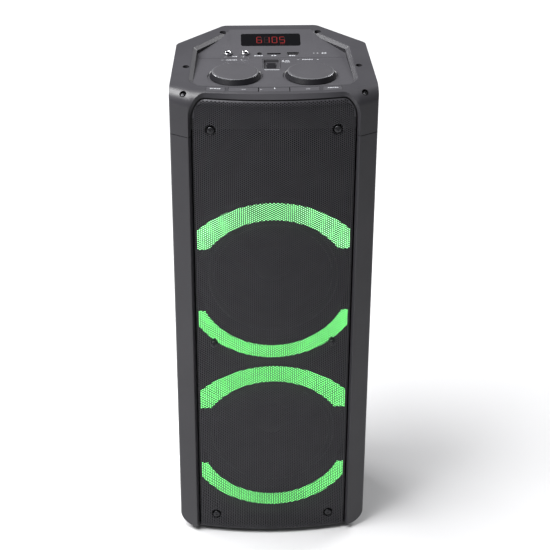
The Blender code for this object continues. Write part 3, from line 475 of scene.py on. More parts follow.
def round_rect(width, height, radius, steps=6):
    w, h = width / 2, height / 2
    return rounded([(-w, -h), (w, -h), (w, h), (-w, h)], [radius] * 4, steps)


def corner_waste(centre, radius, first, last, steps, reach=40.0):
    way = [Vector((math.cos(math.radians(a)), math.sin(math.radians(a)))) for a in (first, last)]
    middle = Vector(centre)
    arc = []
    for i in range(steps + 1):
        angle = math.radians(first + (last - first) * i / steps)
        arc.append(middle + radius * Vector((math.cos(angle), math.sin(angle))))
    start, end = 2 * arc[0] - arc[1], 2 * arc[-1] - arc[-2]
    outside = [end + reach * way[1], middle + (reach + radius) * (way[0] + way[1]), start + reach * way[0]]
    return [tuple(p) for p in [start, *arc[1:-1], end, *outside]]


def front_y(x):
    a = abs(x)
    if a <= CREASE[0]:
        return BOW_Y + (CREASE[1] - BOW_Y) * (a / CREASE[0]) ** 2
    return CREASE[1] + (CORNER[1] - CREASE[1]) * (a - CREASE[0]) / (CORNER[0] - CREASE[0])


def shoulder_y(x, z):
    rise = max(0.0, z - (TOP_Z - SHOULDER_R))
    return front_y(x) + SHOULDER_R - math.sqrt(SHOULDER_R**2 - rise**2)


def shoulder_z(x, y):
    """The cover's top surface over the shoulder, at a place in plan."""
    run = y - front_y(x)
    if run >= SHOULDER_R:
        return TOP_Z
    return TOP_Z - SHOULDER_R + math.sqrt(max(0.0, SHOULDER_R**2 - (SHOULDER_R - run) ** 2))


def grille_y(x, z=0.0):
    rise = max(0.0, z - GRILLE_BEND_Z)
    return GRILLE_Y + GRILLE_BOW * (x / GRILLE_W) ** 2 + GRILLE_R - math.sqrt(GRILLE_R**2 - rise**2)


def deck_z(y):
    if y <= DECK_CREASE:
        return TOP_Z - DECK_STEP - (DECK_DROP - DECK_STEP) * (y - DECK_FRONT) / (DECK_CREASE - DECK_FRONT)
    return TOP_Z - DECK_DROP * (DECK_REAR - y) / (DECK_REAR - DECK_CREASE)


def side_x(y):
    return CORNER[0] + (SIDE_REAR[0] - CORNER[0]) * (y - CORNER[1]) / (SIDE_REAR[1] - CORNER[1])


FRONT_TILT = -math.degrees(math.atan((DECK_DROP - DECK_STEP) / (DECK_CREASE - DECK_FRONT)))
REAR_TILT = math.degrees(math.atan(DECK_DROP / (DECK_REAR - DECK_CREASE)))


def on_deck(x, y):
    return at(x, y, deck_z(y)) @ tilt_x(FRONT_TILT if y < DECK_CREASE else REAR_TILT)


# ---------------------------------------------------------------- top cover

COLUMNS = [-111.0 + 222.0 * i / 44 for i in range(45)]
front_path = [CORNER] + [(x, front_y(x)) for x in reversed(COLUMNS)] + [(-CORNER[0], CORNER[1])]
back_path = [(-SIDE_REAR[0], SIDE_REAR[1]), (-REAR[0], REAR[1]), (REAR[0], REAR[1]), (SIDE_REAR[0], SIDE_REAR[1])]
plan = rounded(front_path + back_path, [4.0] + [0.0] * len(COLUMNS) + [4.0] + [REAR_R] * 4, 8)
cover = slab_mesh("top_cover_shell", plan, SEAM_Z, TOP_Z)

waste = bmesh.new()
waste.from_mesh(outline_mesh("shoulder_waste", corner_waste((SHOULDER_R, TOP_Z - SHOULDER_R), SHOULDER_R, 180, 90, 16), 290.0, ALONG_X))
for column in COLUMNS:
    bmesh.ops.bisect_plane(waste, geom=waste.verts[:] + waste.edges[:] + waste.faces[:], plane_co=(column * MM, 0, 0), plane_no=(1, 0, 0))
for vert in waste.verts:
    vert.co.y += front_y(vert.co.x / MM) * MM
waste_mesh = mesh_from(waste, "shoulder_waste")


def arch(half_width, top, rx, rz, low, steps=18):
    points = [(half_width, low)]
    for i in range(steps + 1):
        angle = math.pi / 2 * i / steps
        points.append((half_width - rx + rx * math.cos(angle), top - rz + rz * math.sin(angle)))
    return points


OPENING_TOP = 709.4
inner = arch(LIP[0], OPENING_TOP, CORNER_RX, CORNER_RZ, 640.0)
outer_top = TOP_Z - SHOULDER_R + SHOULDER_R * math.cos(math.radians(28))
outer = arch(CREASE[0], outer_top, CORNER_RX + 3.5, 32.7, 640.0)
opening = outline_mesh("opening", inner + [(-x, z) for x, z in reversed(inner)], 70.0, at(0, -115.0, 0) @ ALONG_Y)

half = []
for (ix, iz), (ox, oz) in zip(inner, outer):
    depth = min(grille_y(ix, iz), LIP[1]) if ix > 100 else grille_y(ix, iz)
    depth = LIP[1] if iz < 660 else depth
    half.append((Vector((ix, depth, iz)), Vector((ox, shoulder_y(ox, oz), oz))))
for i in range(1, 18):
    x = inner[-1][0] * (1 - i / 17)
    half.append((Vector((x, grille_y(x, OPENING_TOP), OPENING_TOP)), Vector((x, shoulder_y(x, outer_top), outer_top))))
stations = half + [(Vector((-i.x, i.y, i.z)), Vector((-o.x, o.y, o.z))) for i, o in reversed(half[:-1])]
wedge = bmesh.new()
rings = []
for i_point, o_point in stations:
    out = o_point - i_point
    corners = [i_point - out * 0.12, o_point + out * 0.5]
    corners += [corners[1] + Vector((0, -30, 0)), corners[0] + Vector((0, -30, 0))]
    rings.append([wedge.verts.new(c * MM) for c in corners])
for a, b in zip(rings, rings[1:]):
    for k in range(4):
        wedge.faces.new((a[k], a[(k + 1) % 4], b[(k + 1) % 4], b[k]))
wedge.faces.new(rings[0])
wedge.faces.new(list(reversed(rings[-1])))
bmesh.ops.triangulate(wedge, faces=wedge.faces)
bmesh.ops.recalc_face_normals(wedge, faces=wedge.faces)
wedge_mesh = mesh_from(wedge, "lip_wedge")

hollow_half = [(111.5, -76.0), (113.5, -93.0), (130.0, -85.0), (SIDE_REAR[0] - WALL - 0.4, SIDE_REAR[1] - 2.0)]
hollow_half.append((REAR[0] - 2.0, REAR[1] - WALL))
hollow = slab_mesh("cover_hollow", hollow_half + [(-x, y) for x, y in reversed(hollow_half)], 640.0, 700.0)
under_deck = carve(
    outline_mesh(
        "under_deck",
        [
            (-72.0, 697.0),
            (-72.0, deck_z(-72.0) - DECK_T),
            (DECK_CREASE, TOP_Z - DECK_DROP - DECK_T),
            (90.0, deck_z(90.0) - DECK_T),
            (90.0, 697.0),
        ],
        260.0,
        ALONG_X,
    ),
    (slab_mesh("under_plan", [(102, -74), (97, 37), (48.5, 91), (-48.5, 91), (-97, 37), (-102, -74)], 680.0, 730.0), "INTERSECT"),
)


def grown(points, by):
    made = []
    for i, corner in enumerate(points):
        here, last, ahead = Vector(corner), Vector(points[i - 1]), Vector(points[(i + 1) % len(points)])
        a, b = (here - last).normalized(), (ahead - here).normalized()
        na, nb = Vector((a.y, -a.x)), Vector((b.y, -b.x))
        bisector = (na + nb).normalized()
        made.append(tuple(here + bisector * (by / bisector.dot(na))))
    return made


BEVEL, BEVEL_W = 4.0, 5.3
soft_recess = rounded(RECESS, [0, 8.0, 8.0, 1.5, 3.0, 3.0, 1.5, 8.0, 8.0, 0], 6)
recess = bmesh.new()
levels = []
rim = [(695.0, 0.0), (TOP_Z - BEVEL, 0.0), (TOP_Z - 0.7, BEVEL_W - 0.9), (TOP_Z - 0.2, BEVEL_W + 0.1), (TOP_Z + 0.02, BEVEL_W + 1.4)]
rim += [(TOP_Z + 1.0, BEVEL_W + 8.0), (TOP_Z + 8.0, 3 * BEVEL_W)]
for z, by in rim:
    levels.append([recess.verts.new((x * MM, y * MM, z * MM)) for x, y in grown(soft_recess, by)])
for low, high in zip(levels, levels[1:]):
    for i in range(len(low)):
        j = (i + 1) % len(low)
        recess.faces.new((low[i], low[j], high[j], high[i]))
recess.faces.new(list(reversed(levels[0])))
recess.faces.new(levels[-1])
bmesh.ops.recalc_face_normals(recess, faces=recess.faces)
above = bmesh.new()
slices = []
for x in (-150.0, *COLUMNS[::2], 150.0):
    shift = front_y(max(-111.0, min(111.0, x))) - BOW_Y
    foot_z = deck_z(RAMP[1] + shift)
    line = [(-130.0, TOP_Z + 16.0), (RAMP[0] - 2.2 + shift, TOP_Z + 0.45), (RAMP[0] + 0.8 + shift, TOP_Z - 0.1)]
    line += [(RAMP[1] - 2.4 + shift, foot_z + 0.62), (RAMP[1] + 1.6 + shift, deck_z(RAMP[1] + 1.6 + shift))]
    line += [(DECK_CREASE, TOP_Z - DECK_DROP), (DECK_REAR + 40.0, TOP_Z + DECK_DROP * 40.0 / (DECK_REAR - DECK_CREASE))]
    line += [(DECK_REAR + 40.0, TOP_Z + 30.0), (-130.0, TOP_Z + 30.0)]
    slices.append([above.verts.new((x * MM, y * MM, z * MM)) for y, z in line])
for near, far in zip(slices, slices[1:]):
    for i in range(len(near)):
        j = (i + 1) % len(near)
        above.faces.new((near[i], near[j], far[j], far[i]))
above.faces.new(slices[0])
above.faces.new(list(reversed(slices[-1])))
bmesh.ops.recalc_face_normals(above, faces=above.faces)
recess_mesh = carve(mesh_from(recess, "recess"), (mesh_from(above, "above_deck"), "INTERSECT"))

cuts = [waste_mesh.copy(), opening, wedge_mesh, hollow, under_deck, recess_mesh]
for side in (-1, 1):
    spot = on_deck(side * KNOB_X, KNOB_Y)
    cuts.append(
        turned_mesh(
            "dish",
            [(0, 6.0), (KNOB_DISH_R + 0.3, 6.0), (KNOB_DISH_R, -0.1), (KNOB_DISH_R - 1.1, -KNOB_DISH_D), (0, -KNOB_DISH_D)],
            spot,
            96,
        )
    )
    cuts.append(drum_mesh("shaft_hole", 4.2, -12.0, 4.0, spot))
pocket_frame = on_deck(POCKET[0], POCKET[1])
window_frame = on_deck(0.0, WINDOW[2])
cuts.append(outline_mesh("pocket", round_rect(POCKET[2], POCKET[3], 1.6), 30.0, pocket_frame))
cuts.append(slab_mesh("window_seat", round_rect(WINDOW[0] + 0.6, WINDOW[1] + 0.6, 3.6), -1.6, 10.0, window_frame))
cuts.append(slab_mesh("window_hole", round_rect(WINDOW[0] - 8.0, WINDOW[1] - 7.0, 1.0), -16.0, 2.0, window_frame))
for x in MIC_X:
    cuts.append(drum_mesh("mic_hole", 4.75, 690.0, 730.0, at(x, JACK_Y, 0)))
cuts.append(drum_mesh("aux_hole", 3.3, 690.0, 730.0, at(-15.9, JACK_Y, 0)))
cuts.append(slab_mesh("card_hole", round_rect(18.6, 3.4, 0.8), 685.0, 725.0, at(3.5, JACK_Y)))
cuts.append(slab_mesh("usb_hole", round_rect(16.0, 6.6, 0.9), 685.0, 725.0, at(29.1, JACK_Y)))


def bow_shift(x):
    return front_y(x) - BOW_Y


def key_plan(x0, x1, inset, steps=10):
    stops = [x0 + inset + (x1 - x0 - 2 * inset) * i / steps for i in range(steps + 1)]
    near = [(x, KEY_Y[0] + bow_shift(x) + inset) for x in stops]
    far = [(x, KEY_Y[1] + bow_shift(x) - inset) for x in reversed(stops)]
    return near + far


for name in ("mode", "echo"):
    cuts.append(slab_mesh(f"slot_{name}", key_plan(*KEYS[name], 0.0), KEY_FLOOR, 730.0))
cuts.append(slab_mesh("slot_middle", key_plan(-58.5, 58.5, 0.0, 30), KEY_FLOOR, 730.0))

screw_spots = []
for side, word in ((-1, "left"), (1, "right")):
    screw_spots.append((f"cover_screw_rear_{word}", at(side * 64.7, 88.0, TOP_Z)))
    screw_spots.append((f"cover_screw_side_{word}", at(side * 113.4, -21.0, TOP_Z)))
    sx = side * 116.5
    sy = front_y(sx) + SHOULDER_R - SHOULDER_R * math.sin(math.radians(39))
    sz = TOP_Z - SHOULDER_R + SHOULDER_R * math.cos(math.radians(39))
    screw_spots.append((f"cover_screw_front_{word}", at(sx, sy, sz) @ tilt_x(39)))
for name, spot in screw_spots:
    cuts.append(drum_mesh(f"{name}_bore", 4.4, -6.5, 6.0, spot, 40))
    cuts.append(drum_mesh(f"{name}_hole", 2.1, -26.0, 2.0, spot, 20))
cuts.append(box_mesh("crease_line", (194.0, 0.55, 1.4), (0, 27.5, deck_z(27.5) - 0.1)))
boss_front = grille_y(SCREW_X) + DISH_D + GRILLE_T + GAP + 0.9
for side in (-1, 1):
    spot = at(side * SCREW_X, 0, SCREW_Z[0]) @ TURN_Y
    cuts.append((drum_mesh("boss", 4.5, -BAFFLE[0] - 1.0, -boss_front, spot, 24), "UNION"))
    cuts.append(drum_mesh("pilot", 2.1, 70.0, 120.0, spot, 20))
cover = carve(cover, *cuts)
bores = [(spot.inverted(), spot) for _, spot in screw_spots]


def cover_paint(c, n):
    """1 for the deck, 2 for what lies in shade: screw bores, the recess's upright wall and the pocket."""
    for back, spot in bores:
        here = back @ (c * MM) / MM
        axis = spot.to_3x3() @ Vector((0, 0, 1))
        if math.hypot(here.x, here.y) < 4.7 and -8 < here.z < -0.02 and (abs(n.dot(axis)) < 0.4 or here.z < -5):
            return 2
    if abs(c.x) < 107 and -66 < c.y < 97 and 690 < c.z < 714.6 and abs(n.z) < 0.3:
        return 2
    if abs(c.x) < 105 and -80 < c.y < 97 and c.z > 704 and n.z > 0.9 and c.z < 717.4:
        return 1
    return 0


piece("top_cover_shell", cover, "cabinet", [SHELL, DECK, SHADE], ["top_cover"], angle=24, paint=cover_paint)

# ---------------------------------------------------------------- front frame and rear shell

section = [
    (0.0, BAFFLE[0]),
    (LIP[0], BAFFLE[0]),
    LIP,
    CREASE,
    CORNER,
    (side_x(SPLIT_Y), SPLIT_Y),
    (side_x(SPLIT_Y) - WALL, SPLIT_Y),
    (130.3, -86.0),
    (113.5, -94.5),
    (111.5, BAFFLE[1]),
    (0.0, BAFFLE[1]),
]
half_section = rounded(section, [0, 0, 0.7, 0.9, 4.0, 0.4, 0, 0, 0, 0, 0], 8)
front = slab_mesh(
    "front_frame_shell",
    [p for p in half_section if p[0] > 0] + [(-x, y) for x, y in reversed(half_section) if x > 0],
    BASE_Z,
    SEAM_Z - GAP - 0.5,
)
floor_half = [(0.0, grille_y(0) + 2.2), (60.0, grille_y(60) + 2.2), (90.0, grille_y(90) + 2.2), (106.0, grille_y(106) + 2.2)]
floor_half += [(111.5, -100.0), (131.0, -88.0), (127.0, SPLIT_Y), (0.0, SPLIT_Y)]
floor_plate = slab_mesh("front_floor", floor_half + [(-x, y) for x, y in reversed(floor_half) if x > 0], BASE_Z + 0.4, BASE_Z + FLOOR_T)
round_corner = corner_waste((CORNER[0] - BOTTOM_R, BASE_Z + BOTTOM_R), BOTTOM_R, 0, -90, 14)
corner_r = outline_mesh("bottom_r", round_corner, 400.0, ALONG_Y)
corner_l = outline_mesh("bottom_l", [(-x, z) for x, z in reversed(round_corner)], 400.0, ALONG_Y)
changes = [(floor_plate, "UNION")]
for side in (-1, 1):
    pad = [(side * x, y) for x, y in ((116.0, -90.0), (131.0, -88.0), (130.4, SPLIT_Y), (116.0, SPLIT_Y))]
    changes.append((slab_mesh("front_pad", pad, BASE_Z + FLOOR_T - 0.5, 19.0), "UNION"))
changes += [corner_r.copy(), corner_l.copy()]
for z in WOOFER_Z:
    changes.append(drum_mesh("cutout", 93.0, 60.0, 95.0, at(0, 0, z) @ TURN_Y, 96))
for row, z in enumerate(SCREW_Z[1:]):
    face = boss_front if row else grille_y(SCREW_X) + GRILLE_T + GAP + 0.9
    for side in (-1, 1):
        spot = at(side * SCREW_X, 0, z) @ TURN_Y
        changes.append((drum_mesh("boss", 4.0, -BAFFLE[0] - 1.0, -face, spot, 24), "UNION"))
        changes.append(drum_mesh("pilot", 2.1, 70.0, 120.0, spot, 20))
front = carve(front, *changes)


# Index 1 puts black plastic on the baffle, the faces behind it and the floor behind the grille as painted shade, for
# the shade behind the grille; index 0 is the shell plastic.
def baffle_shade_paint(c, n):
    return 1 if abs(c.x) < 108.2 and c.y > -98.5 or abs(c.x) < 107 and c.z < 20 and n.z > 0.5 else 0


piece("front_frame_shell", front, "cabinet", [SHELL, BLACK], ["front_frame"], angle=24, paint=baffle_shade_paint)

rear_half = [(side_x(SPLIT_Y + GAP), SPLIT_Y + GAP), SIDE_REAR, REAR]
rear = slab_mesh(
    "rear_shell_body",
    rounded(rear_half + [(-x, y) for x, y in reversed(rear_half)], [0.4, REAR_R, REAR_R, REAR_R, REAR_R, 0.4], 12),
    BASE_Z,
    SEAM_Z - GAP - 0.5,
)
inside_half = [(side_x(-60.0) - WALL, -60.0), (SIDE_REAR[0] - WALL, SIDE_REAR[1] - 2.0), (REAR[0] - 2.0, REAR[1] - WALL)]
port_frame = at(0, REAR[1], PORT_Z) @ Matrix.Rotation(math.radians(-90), 4, "X")
rear = carve(
    rear,
    slab_mesh(
        "rear_hollow",
        rounded(inside_half + [(-x, y) for x, y in reversed(inside_half)], [0, 8.0, 8.0, 8.0, 8.0, 0], 6),
        BASE_Z + FLOOR_T,
        700.0,
    ),
    *[
        (
            slab_mesh(
                "rear_pad",
                [
                    (side * x, y)
                    for x, y in (
                        (119.0, SPLIT_Y + GAP),
                        (side_x(SPLIT_Y + GAP) - 1.0, SPLIT_Y + GAP),
                        (side_x(40.0) - 1.0, 40.0),
                        (119.0, 40.0),
                    )
                ],
                BASE_Z + FLOOR_T - 0.5,
                17.0,
            ),
            "UNION",
        )
        for side in (-1, 1)
    ],
    corner_r,
    corner_l,
    drum_mesh("port_seat", 36.0, -3.2, 10.0, port_frame, 72),
    drum_mesh("port_hole", 30.8, -20.0, 10.0, port_frame, 72),
    outline_mesh("plate_seat", round_rect(PLATE[0], PLATE[1], 4.0), 10.0, at(0, REAR[1] + 5.0 - 2.2, PLATE[2]) @ ALONG_Y),
    outline_mesh("plate_hole", round_rect(PLATE[0] - 10.0, PLATE[1] - 10.0, 2.0), 30.0, at(0, REAR[1], PLATE[2]) @ ALONG_Y),
)
piece("rear_shell_body", rear, "cabinet", SHELL, ["rear_shell"], angle=24)

# ---------------------------------------------------------------- grille, perforated

PITCH_X, PITCH_Z, HOLE_R = 2.6, 3.0, 1.14
ARC = GRILLE_R * math.asin((GRILLE_Z[1] - GRILLE_BEND_Z) / GRILLE_R)
S_TOP = GRILLE_BEND_Z + ARC


def grille_outline():
    """The sheet's edge in its unrolled plane, as a closed polyline."""
    right = [(GRILLE_W, GRILLE_Z[0])]
    for i in range(41):
        angle = math.pi / 2 * i / 40
        right.append((GRILLE_W - CORNER_RX + CORNER_RX * math.cos(angle), S_TOP - CORNER_RZ + CORNER_RZ * math.sin(angle)))
    return np.array(right + [(-x, s) for x, s in reversed(right)])


OUTLINE = grille_outline()


def inside_by(points):
    """Signed distance of each point to the outline, positive inside, and the nearest point on it."""
    a = OUTLINE
    b = np.roll(OUTLINE, -1, axis=0)
    d = b - a
    best = np.full(len(points), 1e9)
    near = np.zeros((len(points), 2))
    for p0, step in zip(a, d):
        t = np.clip(((points - p0) @ step) / (step @ step), 0, 1)
        q = p0 + t[:, None] * step
        away = np.hypot(*(points - q).T)
        closer = away < best
        best[closer] = away[closer]
        near[closer] = q[closer]
    x, s = np.abs(points[:, 0]), points[:, 1]
    over = np.clip((s - (S_TOP - CORNER_RZ)) / CORNER_RZ, 0, 1)
    width = GRILLE_W - CORNER_RX * (1 - np.sqrt(1 - over**2))
    inside = (x < width) & (s > GRILLE_Z[0]) & (s < S_TOP)
    return np.where(inside, best, -best), near


def bend(points, depth):
    """Points of the unrolled sheet, this far behind its face, in space."""
    x, s = points[:, 0], points[:, 1]
    angle = np.clip((s - GRILLE_BEND_Z) / GRILLE_R, 0, None)
    r = GRILLE_R - depth
    y = GRILLE_Y + GRILLE_BOW * (x / GRILLE_W) ** 2 + GRILLE_R - r * np.cos(angle)
    z = np.where(angle > 0, GRILLE_BEND_Z + r * np.sin(angle), s)
    dip = np.zeros(len(x))
    for sz in (SCREW_Z[0], SCREW_Z[2]):
        away = np.hypot(np.abs(x) - SCREW_X, s - sz) / DISH_R
        t = np.clip((1 - away) / 0.45, 0, 1)
        dip = np.maximum(dip, DISH_D * t * t * (3 - 2 * t))
    return np.stack([x, y + dip, z], axis=1) * MM


def perforated(name, low, high):
    """The sheet's cells whose centres lie between two heights, as one closed mesh. Each cell has a hexagonal hole, but for the plain ones along the edge."""
    centres = []
    k_max = int(GRILLE_W / PITCH_X)
    for k in range(-k_max, k_max + 1):
        offset = k % 2
        for j in range(int((S_TOP + 6) / PITCH_Z)):
            centres.append((3 * k, 2 * j + offset))
    keys = np.array(centres)
    unit = np.array([PITCH_X / 3, PITCH_Z / 2])
    place = keys * unit
    margin, _ = inside_by(place)
    keep = (margin > -1.7) & (place[:, 1] >= low) & (place[:, 1] < high)
    for sz in SCREW_Z:
        keep &= np.hypot(np.abs(place[:, 0]) - SCREW_X, place[:, 1] - sz) > 1.6
    keys, margin = keys[keep], margin[keep]
    around = np.array([(2, 0), (1, 1), (-1, 1), (-2, 0), (-1, -1), (1, -1)])
    corners = (keys[:, None, :] + around[None, :, :]).reshape(-1, 2)
    unique, index = np.unique(corners, axis=0, return_inverse=True)
    index = index.reshape(-1, 6)
    sheet = unique * unit
    away, near = inside_by(sheet)
    sheet[away < 0] = near[away < 0]
    holed = margin > 1.35
    blank = index[~holed]
    plain = np.vstack([blank[:, [0, 1, 2, 3]], blank[:, [0, 3, 4, 5]]])
    px, ps = sheet[plain, 0], sheet[plain, 1]
    area = 0.5 * np.abs((px * np.roll(ps, -1, axis=1) - np.roll(px, -1, axis=1) * ps).sum(axis=1))
    plain = plain[area > 0.02]
    keys, index = keys[holed], index[holed]
    angles = np.radians([0, 60, 120, 180, 240, 300])
    ring = np.stack([np.cos(angles), np.sin(angles)], axis=1) * HOLE_R
    holes = ((keys * unit)[:, None, :] + ring[None, :, :]).reshape(-1, 2)
    n, m = len(sheet), len(holes)
    front = np.vstack([bend(sheet, 0.0), bend(holes, 0.0)])
    back = np.vstack([bend(sheet, GRILLE_T), bend(holes, GRILLE_T)])
    verts = np.vstack([front, back])
    shift = n + m
    hole_index = n + np.arange(m).reshape(-1, 6)
    nxt = np.roll(np.arange(6), -1)
    a, b = index, index[:, nxt]
    ha, hb = hole_index, hole_index[:, nxt]
    face_front = np.stack([a, b, hb, ha], axis=2).reshape(-1, 4)
    face_back = np.stack([b, a, ha, hb], axis=2).reshape(-1, 4) + shift
    wall = np.stack([ha, hb, hb + shift, ha + shift], axis=2).reshape(-1, 4)
    ahead = np.roll(plain, -1, axis=1)
    pairs = np.vstack([np.stack([a.reshape(-1), b.reshape(-1)], axis=1), np.stack([plain.reshape(-1), ahead.reshape(-1)], axis=1)])
    ordered = np.sort(pairs, axis=1)
    _, first, count = np.unique(ordered, axis=0, return_index=True, return_counts=True)
    rim_pairs = pairs[first[count == 1]]
    rim = np.stack([rim_pairs[:, 1], rim_pairs[:, 0], rim_pairs[:, 0] + shift, rim_pairs[:, 1] + shift], axis=1)
    faces = np.vstack([face_front, plain, face_back, plain[:, ::-1] + shift, wall, rim])
    used, faces = np.unique(faces, return_inverse=True)
    verts, faces = verts[used], faces.reshape(-1, 4)
    mesh = bpy.data.meshes.new(name)
    mesh.vertices.add(len(verts))
    mesh.vertices.foreach_set("co", verts.astype(np.float32).reshape(-1))
    mesh.loops.add(len(faces) * 4)
    mesh.loops.foreach_set("vertex_index", faces.astype(np.int32).reshape(-1))
    mesh.polygons.add(len(faces))
    mesh.polygons.foreach_set("loop_start", np.arange(0, len(faces) * 4, 4, dtype=np.int32))
    mesh.update(calc_edges=True)
    mesh.validate()
    return mesh, len(face_front) + len(plain)


bands = [0.0, 182.0, 356.0, 530.0, 800.0]
for number, (low, high) in enumerate(zip(bands, bands[1:]), 1):
    mesh, lit_faces = perforated(f"perforated_grille_{number}", low, high)
    grille_piece = piece(f"perforated_grille_{number}", mesh, "cabinet", [GRILLE, GRILLE_HOLE_SHADE], ["grille"], angle=40, weighted=False)
    # Every face but the sheet's front gets the near-black painted shade, which stands in for the shade inside the holes
    # and behind the sheet.
    index = np.ones(len(mesh.polygons), dtype=np.int32)
    index[:lit_faces] = 0
    middle = np.zeros(len(index) * 3)
    mesh.polygons.foreach_get("center", middle)
    middle = middle.reshape(-1, 3) / MM
    # The faces round the top and bottom screws get the same painted shade, for the shade in the recessed dishes.
    for sz in (SCREW_Z[0], SCREW_Z[2]):
        index[np.hypot(np.abs(middle[:, 0]) - SCREW_X, middle[:, 2] - sz) < 6.2] = 1
    mesh.polygons.foreach_set("material_index", index)

# ---------------------------------------------------------------- light guides


def guide_outline(up, inner, outer, low, steps=64):
    """A band between two circles, each given as its radius and its centre's height over the woofer's axis."""
    (inner_r, inner_c), (outer_r, outer_c) = inner, outer
    wide, tall = math.asin(GUIDE_X / outer_r), math.acos((low - inner_c) / inner_r)
    outside = [(outer_r * math.sin(a), outer_c + outer_r * math.cos(a)) for a in (wide - 2 * wide * i / steps for i in range(steps + 1))]
    inside = [(inner_r * math.sin(a), inner_c + inner_r * math.cos(a)) for a in (-tall + 2 * tall * i / steps for i in range(steps + 1))]
    points = [(GUIDE_X, low)] + outside + [(-GUIDE_X, low)] + inside
    return [(x, z if up else -z) for x, z in points]


def guide_slab(name, outline, back, z):
    return outline_mesh(name, outline, back - GUIDE_Y[0], at(0, (GUIDE_Y[0] + back) / 2, z) @ ALONG_Y)


for word, z in zip(("upper", "lower"), WOOFER_Z):
    for part_word, up in (("top", True), ("bottom", False)):
        name = f"{word}_ring_{part_word}_light_guide"
        if up:
            # The upper arcs glow flatter and wider: a front lip reaches over the woofer's flange.
            mesh = guide_slab(name, guide_outline(up, (GUIDE_R[0], 0.0), (148.4, -25.8), 52.0), GUIDE_Y[1], z)
            lip = guide_slab("lip", guide_outline(up, (107.6, -11.0), (148.3, -25.8), 52.2), -86.5, z)
            mesh = carve(mesh, (lip, "UNION"))
        else:
            mesh = guide_slab(name, guide_outline(up, (GUIDE_R[0], 0.0), (GUIDE_R[1] + 0.6, 0.0), 46.0), GUIDE_Y[1], z)
            if word == "upper":
                mesh = carve(mesh, *[drum_mesh("notch", 4.6, 70.0, 120.0, at(s * SCREW_X, 0, SCREW_Z[1]) @ TURN_Y, 32) for s in (-1, 1)])
        glow = GUIDE_TOP if word == "upper" and up else GUIDE
        piece(f"{name}_lens", mesh, "cabinet", [glow, BLACK], [name], angle=30, paint=lambda c, n: 0 if n.y < -0.5 else 1)

# ---------------------------------------------------------------- woofers

for word, z in zip(("upper", "lower"), WOOFER_Z):
    spot = at(0, 0, z) @ TURN_Y
    basket = [(FLANGE_R - 0.6, 83.8), (FLANGE_R, 83.2), (FLANGE_R, 80.3), (91.5, 80.3), (90.0, 76.0), (60.0, 38.0), (60.0, 32.0)]
    basket += [(24.0, 32.0), (24.0, 34.5), (56.0, 34.5), (57.0, 39.0), (87.0, 77.0), (89.0, 80.0), (89.0, 83.0), (89.6, 83.8)]
    piece(f"{word}_basket", turned_mesh("b", basket, spot, 120, True), "cabinet", BASKET, [f"{word}_woofer_basket"])
    roll = [(88.6, 83.0), (88.6, 80.8)]
    roll += [(84.6 + 3.2 * math.cos(a), 81.0 + 3.2 * math.sin(a)) for a in (math.pi * i / 10 for i in range(11))]
    roll += [(80.6, 80.6), (80.6, 82.0)]
    roll += [(84.6 - 4.0 * math.cos(a), 82.0 + 4.4 * math.sin(a)) for a in (math.pi * i / 12 for i in range(1, 12))]
    piece(f"{word}_surround", turned_mesh("s", roll, spot, 120, True), "cabinet", SURROUND, [f"{word}_woofer_surround"])
    face = [(26.0 * math.sin(a), 52.5 + 13.5 * (1 - (math.sin(a)) ** 2)) for a in (math.pi / 2 * i / 10 for i in range(11))]
    face += [(26.0 + 54.0 * t, 52.5 + 29.5 * t**0.86) for t in (i / 12 for i in range(1, 13))]
    behind = [(80.0, 80.7)] + [(26.0 + 54.0 * t, 50.9 + 29.5 * t**0.86) for t in (i / 12 for i in range(11, -1, -1))]
    behind += [(20.6, 49.0), (20.6, 31.0), (19.2, 31.0), (19.2, 51.0), (12.0, 61.0), (0, 64.0)]
    piece(f"{word}_cone", turned_mesh("c", face + behind, spot, 120), f"{word}_cone_body", CONE, [f"{word}_woofer_cone"])
    magnet = [(0, 40.0), (16.9, 40.0), (17.5, 39.4), (17.5, 24.0), (22.0, 24.0), (22.0, 31.7), (55.0, 31.7), (58.0, 29.0)]
    magnet += [(58.0, 8.0), (56.0, 6.4), (0, 6.0)]
    piece(f"{word}_magnet", turned_mesh("m", magnet, spot, 96), "cabinet", FERRITE, [f"{word}_woofer_magnet"])

# ---------------------------------------------------------------- screws


def cross_recess(depth_from, matrix, arm=2.3, thick=0.8, deep=1.6):
    return [
        box_mesh("cross_a", (arm * 2, thick, deep * 2), (0, 0, depth_from), matrix),
        box_mesh("cross_b", (thick, arm * 2, deep * 2), (0, 0, depth_from), matrix),
    ]


for name, spot in screw_spots:
    head = [(0, -2.9), (1.4, -2.95), (2.6, -3.25), (3.5, -3.95), (3.9, -5.0), (3.9, -6.2), (1.8, -6.2), (1.8, -15.0), (0, -17.0)]
    mesh = carve(turned_mesh(name, head, spot, 36), *cross_recess(-2.9, spot, 1.9, 0.7, 1.3))
    piece(f"{name}_head", mesh, "cabinet", SCREW, [name], angle=30)
for z, word in zip(SCREW_Z, ("top", "middle", "bottom")):
    for side, hand in ((-1, "left"), (1, "right")):
        name = f"grille_screw_{word}_{hand}"
        spot = at(side * SCREW_X, 0, z) @ TURN_Y
        seat = -grille_y(SCREW_X) - (0.0 if word == "middle" else DISH_D) + GAP + 1.3
        head = [(5.0 * math.sin(a), seat + 0.5 + 2.2 * math.cos(a)) for a in (math.pi / 2 * i / 8 for i in range(9))]
        head = [(0, seat + 2.7)] + head[1:] + [(4.8, seat), (1.8, seat), (1.8, seat - 13.0), (0, seat - 15.0)]
        mesh = carve(turned_mesh(name, head, spot, 48), *cross_recess(seat + 2.7, spot @ Matrix.Rotation(0.6 * side + z, 4, "Z")))
        piece(f"{name}_head", mesh, "cabinet", SCREW, [name], angle=30)

# ---------------------------------------------------------------- knobs

